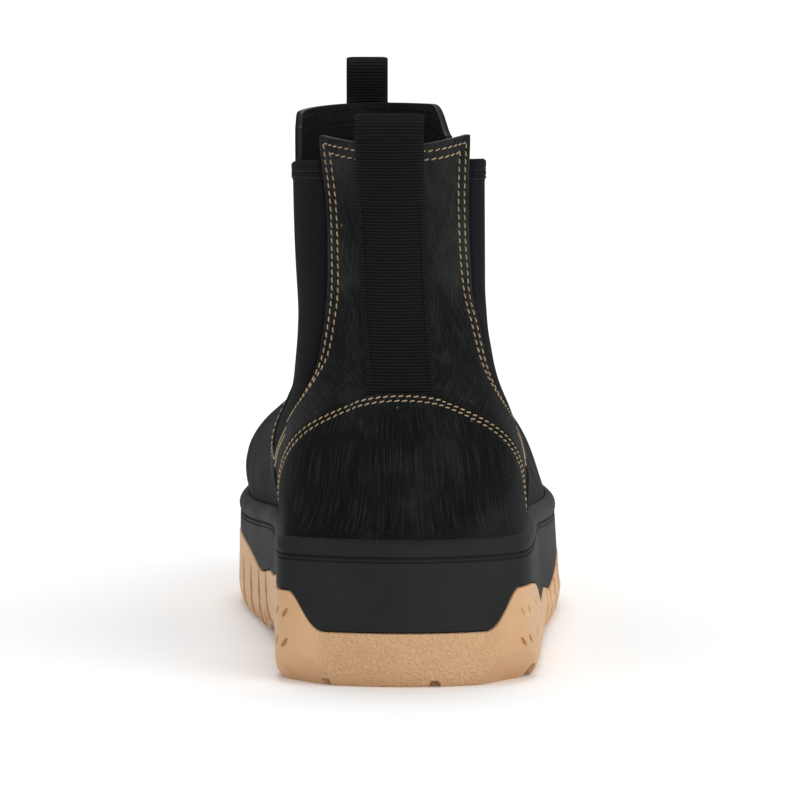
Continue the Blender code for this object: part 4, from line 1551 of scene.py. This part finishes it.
@dataclass(frozen=True)
class FaceTable:
    """The face behind a pull loop: y over heights and places across, and the middle line of that face."""

    levels: Array
    across: Array
    depths: Array
    line: Array

    def read(self, x: Array, z: Array) -> Array:
        """Reads y by straight interpolation in both directions.

        Args:
            x: Places across.
            z: Heights.

        Returns:
            The depths y.
        """
        i = np.clip((z - self.levels[0]) / (self.levels[1] - self.levels[0]), 0, len(self.levels) - 1.001)
        j = np.clip((x - self.across[0]) / (self.across[1] - self.across[0]), 0, len(self.across) - 1.001)
        a, b = i.astype(int), j.astype(int)
        i, j = i - a, j - b
        low = blend(self.depths[a, b], self.depths[a, b + 1], j)
        return blend(low, blend(self.depths[a + 1, b], self.depths[a + 1, b + 1], j), i)


@dataclass
class PullLoop:
    """A band of ribbed webbing on the back or front of the shaft, with a finger loop over the collar.

    Attributes:
        form: The boot's surface.
        front: Whether it is on the front.
        width: Width of the band.
        path: Middle of the band as distance out from the leather and height.
        collar: Height over which the band runs straight across.
        thick: Thickness of the band.
        rib: Pitch of its ribs.
        straighten: Height over which it turns from the leather's curve to straight.
        face: The boot's face behind it.
    """

    form: BootForm
    front: bool
    width: float
    path: list[tuple[float, float]]
    collar: float
    thick: float = 0.0014
    rib: float = 0.00097
    straighten: float = 0.002
    face: FaceTable = field(init=False)

    RIB_RISE = 0.00030
    YARN_RISE = 0.00005
    YARN_PITCH = 0.00104

    def __post_init__(self) -> None:
        """Tables the face behind the band."""
        self.face = self.face_table()

    def face_table(self) -> FaceTable:
        """Depths of the boot's face over a grid of heights and places across, and its middle line.

        Returns:
            The table.
        """
        middle = 0.5 if self.front else 0.0
        u, v = np.meshgrid(middle + np.linspace(-0.11, 0.11, 90), np.linspace(0.30, 1.0, 120), indexing="ij")
        points = self.form.base(u, v)
        levels = np.linspace(0.080, 0.172, 160)
        across = np.linspace(-0.030, 0.026, 120)
        x, y = (
            np.array([np.interp(levels, column[:, 2], column[:, axis]) for column in points])
            for axis in (0, 1)
        )
        depths = np.empty((len(levels), len(across)))
        for row in range(len(levels)):
            order = np.argsort(x[:, row])
            depths[row] = np.interp(across, x[order, row], y[order, row])
        line = self.form.base(np.full(160, middle), np.linspace(0.3, 1.0, 160))
        return FaceTable(levels, across, depths, line)

    def smooth_path(self) -> Array:
        """The path eased as in the part's source, then a cubic through it.

        Returns:
            Points of the band's middle line.
        """
        points = np.array(self.path)
        at = arc_lengths(points)
        even = np.column_stack([np.interp(np.linspace(0, at[-1], 27), at, c) for c in points.T])
        for _ in range(2):
            even[1:-1] = even[:-2] * 0.25 + even[1:-1] * 0.5 + even[2:] * 0.25
        at = arc_lengths(even)
        return spline(at, even, np.linspace(0, at[-1], int(at[-1] / self.rib * 6)))

    def surface(self, path: Array, across: Array, height: Array) -> Array:
        """Points at heights over the band's middle, which follows the face below the collar.

        Args:
            path: Middle line, n by 2.
            across: Places across the band in metres, broadcast with height.
            height: Distance from the middle of the band, n by m.

        Returns:
            The points.
        """
        read, line = self.face.read, self.face.line
        along = np.gradient(path, axis=0)
        along /= np.linalg.norm(along, axis=1)[:, None]
        out = path[:, :1] + along[:, 1:] * height
        z = path[:, 1:] - along[:, :1] * height
        x = np.interp(z, line[:, 2], line[:, 0]) + across
        flat = smooth((z - self.collar) / self.straighten)
        step = self.width / 6
        slope = (1 - flat) * (read(x + step, z) - read(x - step, z)) / (2 * step)
        face = blend(read(x, z), read(x - across, z), flat)
        sign = 1.0 if self.front else -1.0
        return np.stack((x, face + sign * out * np.hypot(1.0, slope), z), axis=-1)

    def build(self, name: str, finish: bpy.types.Material, node: str) -> None:
        """Closed tube of a flat band: ribs across it are a cosine along the path.

        Args:
            name: Name of the piece.
            finish: Its material.
            node: CAD node that it replaces.
        """
        path = self.smooth_path()
        at = arc_lengths(path)
        columns = 44
        place_across = np.linspace(-1.0, 1.0, columns)
        profile = np.maximum(1.0 - np.abs(place_across) ** 10, 0.06) ** 0.5
        ribs = 0.5 + 0.5 * np.cos(2 * math.pi * at / self.rib)[:, None]
        yarn = 0.5 + 0.5 * np.cos(2 * math.pi * place_across * self.width / 2 / self.YARN_PITCH)
        relief = self.RIB_RISE * ribs**0.6 * profile + self.YARN_RISE * yarn * profile
        half = (self.thick / 2 - self.RIB_RISE) * profile[None] + relief
        across = np.broadcast_to(place_across * self.width / 2, half.shape)
        top = self.surface(path, across, half)
        under = self.surface(path, across[:, ::-1], -half[:, ::-1])
        grid = np.concatenate((top, under), axis=1)
        rows, wide = grid.shape[:2]
        first = np.arange(columns - 1)
        cap = np.column_stack((first, first + 1, wide - 2 - first, wide - 1 - first))
        last = cap + (rows - 1) * wide
        faces = np.concatenate((grid_faces(rows, wide, closed=True), cap[:, ::-1], last))
        if self.front:
            faces = faces[:, ::-1]
        u = np.concatenate((across, across[:, ::-1]), axis=1)
        uv = np.stack((u, np.broadcast_to(at[:, None], u.shape)), axis=-1).reshape(-1, 2)
        obj = make_object(name, grid.reshape(-1, 3), faces, uv, sharp=60.0)
        if signed_volume(obj.data) < 0:
            obj.data.flip_normals()
        place(obj, "black_webbing", finish, stands_for=node)

    def row(self, path: Array, across: Array, pitch: float) -> StitchRow:
        """Stitches on the band's outer face along a path, at places across.

        Args:
            path: Points out and up.
            across: Places across the band.
            pitch: Length of a stitch and its gap.

        Returns:
            The row.
        """
        height = np.full((len(path), 1), self.thick / 2 + 0.00008)
        points = self.surface(path, np.reshape(across, (-1, 1)), height)[:, 0]
        out = (0.0, 1.0 if self.front else -1.0, 0.0)
        return StitchRow(points, np.broadcast_to(out, points.shape), pitch)


def signed_volume(mesh: bpy.types.Mesh) -> float:
    """Six times the volume that a mesh closes, negative if it is inside out.

    Args:
        mesh: The mesh.

    Returns:
        The signed volume.
    """
    mesh.calc_loop_triangles()
    corners = np.empty(len(mesh.loop_triangles) * 3, np.int32)
    mesh.loop_triangles.foreach_get("vertices", corners)
    points = np.empty(len(mesh.vertices) * 3, np.float32)
    mesh.vertices.foreach_get("co", points)
    a, b, c = np.moveaxis(points.reshape(-1, 3)[corners.reshape(-1, 3)], 1, 0)
    return float(np.einsum("ij,ij->i", a, np.cross(b, c)).sum())


class Straps:
    """The rear and the front pull loop with their black stitches."""

    BULGE = 0.0046
    SEAM_HEIGHT = 0.1470
    SEAM_REACH = 0.0090

    def __init__(self, form: BootForm, finishes: Finishes) -> None:
        """Keeps the surface and finishes."""
        self.form, self.finishes = form, finishes

    def over(self, first: float, last: float, collar: float, rise: float,
             rows: tuple[tuple[float, float], ...]) -> list[tuple[float, float]]:
        """Path up one side of a loop, over its top and down the other.

        Args:
            first: Distance out of the side going up.
            last: Distance out of the side coming down.
            collar: Height where the loop starts.
            rise: Rise of its top over that.
            rows: Bulge and climb of the points between, as shares.

        Returns:
            Points out and up.
        """
        going = [(first + self.BULGE * bulge, collar + rise * climb) for bulge, climb in rows]
        returning = [(last - self.BULGE * bulge, collar + rise * climb) for bulge, climb in rows]
        return [*going, ((first + last) / 2, collar + rise), *reversed(returning)]

    def build(self) -> None:
        """Builds both bands and sews them."""
        collar = HEEL_HEIGHT + SHAFT_RISE
        outside = GAP + 0.0007
        inside = -WALL - outside
        foot = HEEL_HEIGHT + 0.367 * SHAFT_RISE - 0.0014
        waist = blend(foot, collar, 0.75)
        path = [(outside, foot), (outside, blend(foot, waist, 0.5)), (outside, waist)]
        path += self.over(outside, inside, collar, 0.0094, ((0.3, -0.80), (0.8, 0.20), (0.5, 0.75)))
        path += [(inside, waist)]
        rear = PullLoop(self.form, False, 0.021, path, collar)
        rear.build("rear_pull_strap", self.finishes.webbing, "rear_pull_loop")

        front_y = (0.034 - 0.5) * LENGTH + SHAFT_DEPTH
        top = float(rim_height(np.array(front_y))) + SHAFT_RISE * 1.070
        near, far = outside, GAP * 2 + 0.0021
        low = top - 0.0225
        waist = blend(low, top, 0.5)
        path = [(near, low), (near, waist)]
        path += self.over(near, far, top, 0.0150, ((0.0, 0.22), (-0.5, 0.42), (-0.8, 0.65), (-0.4, 0.93)))
        path += [(far, waist), (far, low)]
        front = PullLoop(self.form, True, 0.0132, path, top)
        front.build("front_pull_strap", self.finishes.webbing, "front_pull_loop")

        rows = []
        for x in (-self.SEAM_REACH, self.SEAM_REACH):
            line = np.column_stack((np.full(200, outside), np.linspace(foot + 0.003, self.SEAM_HEIGHT, 200)))
            rows.append(rear.row(line, np.full(200, x), 0.0026))
        crossings = (
            (rear, outside, self.SEAM_HEIGHT, self.SEAM_REACH),
            (rear, outside, self.SEAM_HEIGHT - 0.0014, self.SEAM_REACH),
            (front, far, low + 0.003, 0.0055), (front, far, low + 0.012, 0.0055),
        )
        for band, out, level, reach in crossings:
            line = np.column_stack((np.full(60, out), level + np.linspace(0, 1e-6, 60)))
            rows.append(band.row(line, np.linspace(-reach, reach, 60), 0.0022))
        sew("strap_stitches", rows, self.finishes.black)


class Sole:
    """The gum outsole and the black midsole."""

    COUNT = 1200
    WRAP = 0.0036
    SLAB = 0.010
    # Stations of the heel's chamfers: length along the wall, how far in it starts and how high it ends
    FACETS = (
        (0.0215, 0.0008, 0.0012), (0.0300, 0.0050, 0.0080), (0.0385, 0.0070, 0.0100),
        (0.0470, 0.0050, 0.0075), (0.0560, 0.0008, 0.0012),
    )
    # Grooves across the tread, in shares of LENGTH
    GROOVES = (0.085, 0.155, 0.225, 0.40, 0.465, 0.53, 0.595, 0.66, 0.725, 0.79, 0.855, 0.92)
    # A groove's and a notch's levels over the ground with their half widths there
    GROOVE_PROFILE = ((-0.004, 0.0034), (0.0, 0.0028), (0.0008, 0.0021), (0.0042, 0.0017))
    CHEVRON = 0.010
    NOTCH_PROFILE = ((-0.004, 0.0022), (0.0006, 0.0015), (0.0021, 0.0009))
    NOTCHES = (-0.216, 0.101)
    # The midsole's rim: drop from its top and distance inwards
    RIM_PROFILE = (
        (0.0078, 0.0000), (0.0076, 0.0001), (0.0074, 0.0005), (0.0072, 0.0005), (0.0070, 0.0001),
        (0.0066, 0.0000), (0.0064, 0.0002), (0.0062, 0.0007), (0.0059, 0.0008), (0.0056, 0.0002),
        (0.0046, -0.0003), (0.0036, -0.0004), (0.0026, -0.0002), (0.0018, 0.0002), (0.0011, 0.0008),
        (0.0006, 0.0014), (0.0003, 0.0020), (0.0002, 0.0027), (0.0030, 0.00275),
    )
    # Cutters on the side walls, as lengths along the wall and heights
    CHANNEL = np.array((
        (-0.0032, -0.002), (0.0030, -0.002), (0.0030, 0.0040), (0.0014, 0.0064), (0.0024, 0.0090),
        (0.0010, 0.0150), (-0.0012, 0.0158), (-0.0024, 0.0102), (-0.0010, 0.0078), (-0.0030, 0.0050),
    ))
    ARROW = np.array((
        (-0.0044, 0.0008), (0.0040, 0.0008), (0.0026, 0.0036), (0.0002, 0.0060), (-0.0014, 0.0038),
    ))
    PIT = 1.45 * np.array((
        (0.0013, -0.0009), (0.0007, -0.0013), (-0.0008, -0.0002),
        (-0.0013, 0.0008), (-0.0007, 0.0012), (0.0008, 0.0001),
    ))
    PIT_COLUMNS = (0.0400, 0.0455, 0.0590, 0.0645, 0.0780, 0.0920)
    PIT_ROWS = (0.0200, 0.0108)

    def __init__(self, finishes: Finishes) -> None:
        """Samples the ground and rim outlines at even steps of the ground outline's length."""
        self.finishes = finishes
        dense = np.linspace(0, 1, 6001)
        at = arc_lengths(ring_points(GROUND.control(), dense))
        turns = np.interp(np.arange(self.COUNT) / self.COUNT * at[-1], at, dense)
        self.ground = ring_points(GROUND.control(), turns)
        self.rim = ring_points(RIM.control(), turns)
        self.low = ground_height(self.ground[:, 1])
        self.high = rim_height(self.ground[:, 1])
        self.edge = self.gum_edge()
        self.step = arc_lengths(self.ground)[-1] / (self.COUNT - 1)

    def gum_edge(self) -> Array:
        """Height of the gum's edge: a cubic through the table, cut down between two claws behind.

        Returns:
            A height a sample.
        """
        shares = self.ground[:, 1] / LENGTH + 0.5
        medial, lateral = (spline(GUM_EDGES[:, 0], GUM_EDGES[:, i], shares) for i in (1, 2))
        side = np.where(self.ground[:, 0] < 0.019 * BALL_WIDTH, medial, lateral) * HEEL_HEIGHT
        corner = np.abs(self.ground[:, 0] - 0.016 * BALL_WIDTH) / HEEL_WIDTH
        climb = smooth(np.clip((corner - 0.300) / 0.150, 0, 1) ** 1.4)
        claw = np.where(shares < 0.12, climb, 1.0)
        side = blend(side, 0.46 * HEEL_HEIGHT, smooth((shares - 0.86) / 0.14))
        return blend(0.0165, side, claw) + ground_height(self.ground[:, 1])

    def ring(self, share: Array, distance: Array, heights: Array) -> Array:
        """Ring round the side: share 0 follows the ground outline, 1 the rim.

        Args:
            share: One share, or one a sample.
            distance: Distance inwards.
            heights: Heights of the samples.

        Returns:
            Points of the ring.
        """
        curve = inset(blend(self.ground, self.rim, np.reshape(share, (-1, 1))), distance)
        return np.column_stack((curve, np.broadcast_to(heights, len(curve))))

    def at_edge(self, distance: Array, heights: Array) -> Array:
        """Ring on the side wall at these heights."""
        return self.ring((heights - self.low) / (self.high - self.low), distance, heights)

    def closed(self, name: str, rings: list[Array]) -> bpy.types.Object:
        """Stacks rings and closes both ends with strips from side to side.

        Args:
            name: Name of the piece.
            rings: The rings from below up, or from the inside out.

        Returns:
            The object.
        """
        rows, count = len(rings), self.COUNT
        faces = [grid_faces(rows, count, closed=True)]
        i = np.arange(2, count // 2)
        strip = np.column_stack((i - 1, i, -i % count, (1 - i) % count))
        tops = (rows - 1) * count
        faces += [strip[:, ::-1], strip + tops]
        obj = make_object(name, np.concatenate(rings), np.concatenate(faces), sharp=35.0)
        self.close_tips(obj.data)
        return obj

    def close_tips(self, mesh: bpy.types.Mesh) -> None:
        """Fills the small openings left at heel and toe, and turns the mesh to face out.

        Args:
            mesh: The mesh.
        """
        work = bmesh.new()
        work.from_mesh(mesh)
        holes = [edge for edge in work.edges if edge.is_boundary]
        bmesh.ops.holes_fill(work, edges=holes, sides=0)
        bmesh.ops.recalc_face_normals(work, faces=work.faces)
        work.to_mesh(mesh)
        work.free()
        mesh.shade_smooth()
        mesh.set_sharp_from_angle(angle=math.radians(35.0))

    def build(self) -> None:
        """Builds the midsole, the outsole and dresses the footbed."""
        self.midsole()
        self.outsole()
        footbed = frame["nodes"]["insole"]
        footbed.data.materials.clear()
        footbed.data.materials.append(self.finishes.footbed)

    def midsole(self) -> None:
        """A wall over the gum's edge, with a double line round it and a rounded rim under the leather."""
        clear = self.edge + 0.00025
        share = (clear - self.low) / (self.high - self.low)
        rings = [
            self.ring(share, self.WRAP + GAP, ground_height(self.ground[:, 1]) + self.SLAB + GAP),
            self.at_edge(self.WRAP + GAP, clear),
            self.at_edge(0.0006, clear),
            self.at_edge(0.0002, clear + 0.0003),
        ]
        for climb in np.linspace(0.06, 1.0, 12):
            rings.append(self.at_edge(0.0, blend(clear + 0.0003, self.high - 0.0082, climb)))
        for drop, distance in self.RIM_PROFILE:
            rings.append(self.rim_ring(distance, drop))
        obj = self.closed("midsole_shell", rings)
        place(obj, "black_rubber", self.finishes.midsole, stands_for="midsole")

    def rim_ring(self, distance: float, drop: float) -> Array:
        """Ring a set drop under the rim."""
        curve = self.ring(1.0 - drop / (self.high - self.low), distance, 0.0)[:, :2]
        return np.column_stack((curve, rim_height(curve[:, 1]) - drop))

    def outsole(self) -> None:
        """The gum tread: a closed ring solid with grooves, channels, pits and chamfers cut out of it."""
        edge, low = self.edge, self.low
        side = (edge - low) / (self.high - low)
        wrapped = self.ring(side, self.WRAP, edge)
        rings = [
            self.ring(0.0, 0.0024, ground_height(inset(self.ground, 0.0024)[:, 1])),
            self.ring(0.0, 0.0009, low + 0.0020),
            self.ring(0.0, 0.0003, low + 0.0042),
            self.ring(0.0, -0.0001, low + 0.0075),
        ]
        for share in (0.33, 0.66):
            rings.append(self.at_edge(-0.0002, blend(low + 0.0075, edge - 0.0008, share)))
        rings += [
            self.at_edge(-0.0003, edge - 0.0008),
            self.ring(side, -0.0001, edge - 0.0002),
            self.ring(side, 0.0005, edge),
            wrapped,
            np.column_stack((wrapped[:, :2], ground_height(wrapped[:, 1]) + self.SLAB)),
        ]
        obj = self.closed("gum_outsole", rings)
        for name, cutter in (("grooves", self.groove_cutter()), ("channels", self.channel_cutter())):
            modifier = obj.modifiers.new(name, "BOOLEAN")
            modifier.operation, modifier.solver, modifier.object = "DIFFERENCE", "EXACT", cutter
            modifier.use_self = True
        graph = bpy.context.evaluated_depsgraph_get()
        mesh = bpy.data.meshes.new_from_object(obj.evaluated_get(graph))
        obj.modifiers.clear()
        obj.data = mesh
        mesh.shade_smooth()
        mesh.set_sharp_from_angle(angle=math.radians(30.0))
        for helper in [o for o in bpy.data.objects if o.name.startswith("cutter_")]:
            bpy.data.objects.remove(helper)
        place(obj, "gum_rubber", self.finishes.gum, stands_for="outsole")

    def edge_place(self, share: float, lateral: bool) -> tuple[Array, Array, float]:
        """Point, outward direction and sample number at a share of the length on one side.

        Args:
            share: Share of LENGTH from the heel.
            lateral: Whether it is the lateral side.

        Returns:
            The point, the direction and the number.
        """
        line, outward = self.wall(lateral)
        shares = line[:, 1] / LENGTH + 0.5
        point, direction = (
            np.array([np.interp(share, shares, values[:, i]) for i in (0, 1)]) for values in (line, outward)
        )
        number = float(np.interp(share, shares, np.arange(len(line))))
        return point, direction / np.linalg.norm(direction), number

    def cutter(self, name: str, solids: list[list[Array]]) -> bpy.types.Object:
        """One mesh of separate lofted solids, each a stack of rings with the same number of corners.

        Args:
            name: Name after its prefix.
            solids: The rings of each solid.

        Returns:
            The hidden object.
        """
        work = bmesh.new()
        for rings in solids:
            made = [[work.verts.new(tuple(map(float, p))) for p in ring] for ring in rings]
            count = len(made[0])
            for below, above in zip(made, made[1:]):
                for i in range(count):
                    j = (i + 1) % count
                    work.faces.new((below[i], below[j], above[j], above[i]))
            work.faces.new(made[0][::-1])
            work.faces.new(made[-1])
        bmesh.ops.triangulate(work, faces=[f for f in work.faces if len(f.verts) > 4])
        bmesh.ops.recalc_face_normals(work, faces=work.faces)
        mesh = bpy.data.meshes.new("cutter_" + name)
        work.to_mesh(mesh)
        work.free()
        obj = bpy.data.objects.new("cutter_" + name, mesh)
        bpy.context.scene.collection.objects.link(obj)
        obj.hide_render = True
        return obj

    def groove_cutter(self) -> bpy.types.Object:
        """Chevron grooves across the tread with flared mouths, and notches in the heel's rear edge.

        Returns:
            The cutter, with the heel's chamfers.
        """
        solids = []
        for share in self.GROOVES:
            lateral, out_l, _ = self.edge_place(share, True)
            medial, out_m, _ = self.edge_place(share, False)
            middle = (lateral + medial) / 2 + np.array((0.0, self.CHEVRON))
            run = np.array([lateral + out_l * 0.0036, middle, medial + out_m * 0.0036])
            rings = []
            for level, half in self.GROOVE_PROFILE:
                plan = np.concatenate((run + (0.0, half), (run - (0.0, half))[::-1]))
                rings.append(np.column_stack((plan, ground_height(plan[:, 1]) + level)))
            solids.append(rings)
        for lateral in (True, False):
            solids.append(self.facets(lateral))
        heel = self.ground[np.argsort(self.ground[:, 0])]
        heel = heel[heel[:, 1] < -0.11]
        for share in self.NOTCHES:
            x = share * BALL_WIDTH
            back = float(np.interp(x, heel[:, 0], heel[:, 1]))
            rings = []
            for level, half in self.NOTCH_PROFILE:
                near, far = back + 0.0042, back - 0.004
                wide = half * 1.5
                plan = np.array(((x - half, near), (x + half, near), (x + wide, far), (x - wide, far)))
                rings.append(np.column_stack((plan, np.full(4, level))))
            solids.append(rings)
        return self.cutter("grooves", solids)

    def facets(self, lateral: bool) -> list[Array]:
        """Flat chamfers round one bottom corner of the heel: a wedge with a section at each station.

        Args:
            lateral: Whether it is the lateral side.

        Returns:
            The wedge's sections.
        """
        line, outward = self.wall(lateral)
        rings = []
        for along, deep, high in self.FACETS:
            foot, out = (
                np.array([np.interp(along / self.step, np.arange(len(line)), values[:, i]) for i in (0, 1)])
                for values in (line, outward)
            )
            slope = high / deep
            top = high + 0.001 * slope
            corners = ((0.005, -0.003), (-deep - 0.003 / slope, -0.003), (0.001, top), (0.005, top))
            rings.append(np.array([np.append(foot + out * reach, z) for reach, z in corners]))
        return rings

    def wall(self, lateral: bool) -> tuple[Array, Array]:
        """One side of the ground outline from heel to toe.

        Args:
            lateral: Whether it is the lateral side.

        Returns:
            The points and their outward directions.
        """
        half = self.COUNT // 2
        run = np.arange(half + 1) if lateral else np.arange(self.COUNT, half - 1, -1) % self.COUNT
        outward = self.ground - inset(self.ground, 1.0)
        return self.ground[run], outward[run]

    def on_wall(self, polygon: Array, at: float, lateral: bool, depth: float, shrink: float) -> list[Array]:
        """A polygon in lengths along the wall and heights, pressed into it with sloping sides.

        Args:
            polygon: Corners as lengths and heights.
            at: Sample number of its origin.
            lateral: Whether it is the lateral side.
            depth: Depth of its floor.
            shrink: Size of the floor.

        Returns:
            Three rings, from outside in.
        """
        line, outward = self.wall(lateral)
        samples = np.arange(len(line))
        centre = polygon.mean(axis=0)
        rings = []
        for reach, size in ((0.003, 1.12), (0.0004, 1.06), (-depth, shrink)):
            corners = centre + (polygon - centre) * size
            where = np.clip(at + corners[:, 0] / self.step, 0, samples[-1])
            foot, out = (
                np.column_stack([np.interp(where, samples, values[:, i]) for i in (0, 1)])
                for values in (line, outward)
            )
            z = ground_height(foot[:, 1]) + corners[:, 1]
            rings.append(np.column_stack((foot + out * reach, z)))
        return rings

    def channel_cutter(self) -> bpy.types.Object:
        """Stepped channels up the side lugs, arrow facets between them and slanted pits round the heel.

        Returns:
            The cutter.
        """
        solids = []
        for lateral in (True, False):
            flip = np.array((1.0, 1.0)) if lateral else np.array((-1.0, 1.0))
            fore = [share for share in self.GROOVES if share > 0.3]
            for share in fore:
                _, _, at = self.edge_place(share, lateral)
                solids.append(self.on_wall(self.CHANNEL * flip * 1.15, at, lateral, 0.0030, 0.80))
            for share in fore[:-1]:
                _, _, at = self.edge_place(share + 0.032, lateral)
                solids.append(self.on_wall(self.ARROW * flip, at, lateral, 0.0016, 0.60))
            for along in self.PIT_COLUMNS:
                for level in self.PIT_ROWS:
                    pit = self.PIT + (0.0, level + along * 0.04)
                    solids.append(self.on_wall(pit, along / self.step, lateral, 0.0013, 0.75))
        return self.cutter("channels", solids)


class Studio:
    """The photograph's frame: a long lens from behind, a pale floor and soft light."""

    ELEVATION = 6.0
    DISTANCE = 1.94
    AIM = 0.088
    LENS = 289.0
    AMBIENT = 0.60

    def build(self) -> None:
        """Makes the camera, floor, world and lamps."""
        elevation = math.radians(self.ELEVATION)
        camera = bpy.data.objects.new("camera", bpy.data.cameras.new("camera"))
        bpy.context.scene.collection.objects.link(camera)
        back, up = self.DISTANCE * math.cos(elevation), self.DISTANCE * math.sin(elevation)
        camera.location = (0.0, -LENGTH / 2 - back, self.AIM + up)
        camera.rotation_euler = (math.pi / 2 - elevation, 0.0, 0.0)
        camera.data.lens = self.LENS
        camera.data.sensor_width = 36.0
        bpy.context.scene.camera = camera
        corners = np.array(((-4, -4, 0), (4, -4, 0), (4, 8, 0), (-4, 8, 0)))
        floor = make_object("floor", corners, np.array(((0, 1, 2, 3),)))
        shader = Shader("floor", Roughness=0.9, Specular_IOR_Level=0.1, Base_Color=(0.95, 0.95, 0.95, 1.0))
        floor.data.materials.append(shader.material)
        world = bpy.data.worlds.new("studio")
        world.use_nodes = True
        background = world.node_tree.nodes["Background"]
        background.inputs[0].default_value = (1.0, 1.0, 1.0, 1.0)
        background.inputs[1].default_value = self.AMBIENT
        bpy.context.scene.world = world
        bpy.context.scene.view_settings.view_transform = "Standard"
        self.lamp("key", (0.80, -0.9, 0.95), 1.05, 60.0, (1.0, 0.985, 0.96))
        self.lamp("fill", (-0.9, -0.5, 0.8), 0.25, 70.0, (0.96, 0.98, 1.0))
        self.lamp("top", (0.0, 0.30, 1.0), 1.10, 30.0, (1.0, 1.0, 1.0))

    def lamp(self, name: str, source: tuple[float, float, float], power: float, spread: float,
             tint: tuple[float, float, float]) -> None:
        """A wide, distant soft light from the direction of its source.

        Args:
            name: Name of the lamp.
            source: Direction that the light comes from.
            power: Strength.
            spread: Angle of the source in degrees.
            tint: Colour.
        """
        data = bpy.data.lights.new(name, "SUN")
        data.energy, data.angle, data.color = power, math.radians(spread), tint
        lamp = bpy.data.objects.new(name, data)
        lamp.rotation_mode = "QUATERNION"
        lamp.rotation_quaternion = (-Vector(source)).to_track_quat("-Z", "Y")
        bpy.context.scene.collection.objects.link(lamp)


def main() -> None:
    """Builds the boot in order."""
    logging.basicConfig(level=logging.INFO, format="%(name)s: %(message)s")
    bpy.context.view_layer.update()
    Studio().build()
    finishes = Finishes()
    form = BootForm()
    Sole(finishes).build()
    Upper(form, finishes).build()
    Straps(form, finishes).build()


if __name__ == "__main__":
    main()
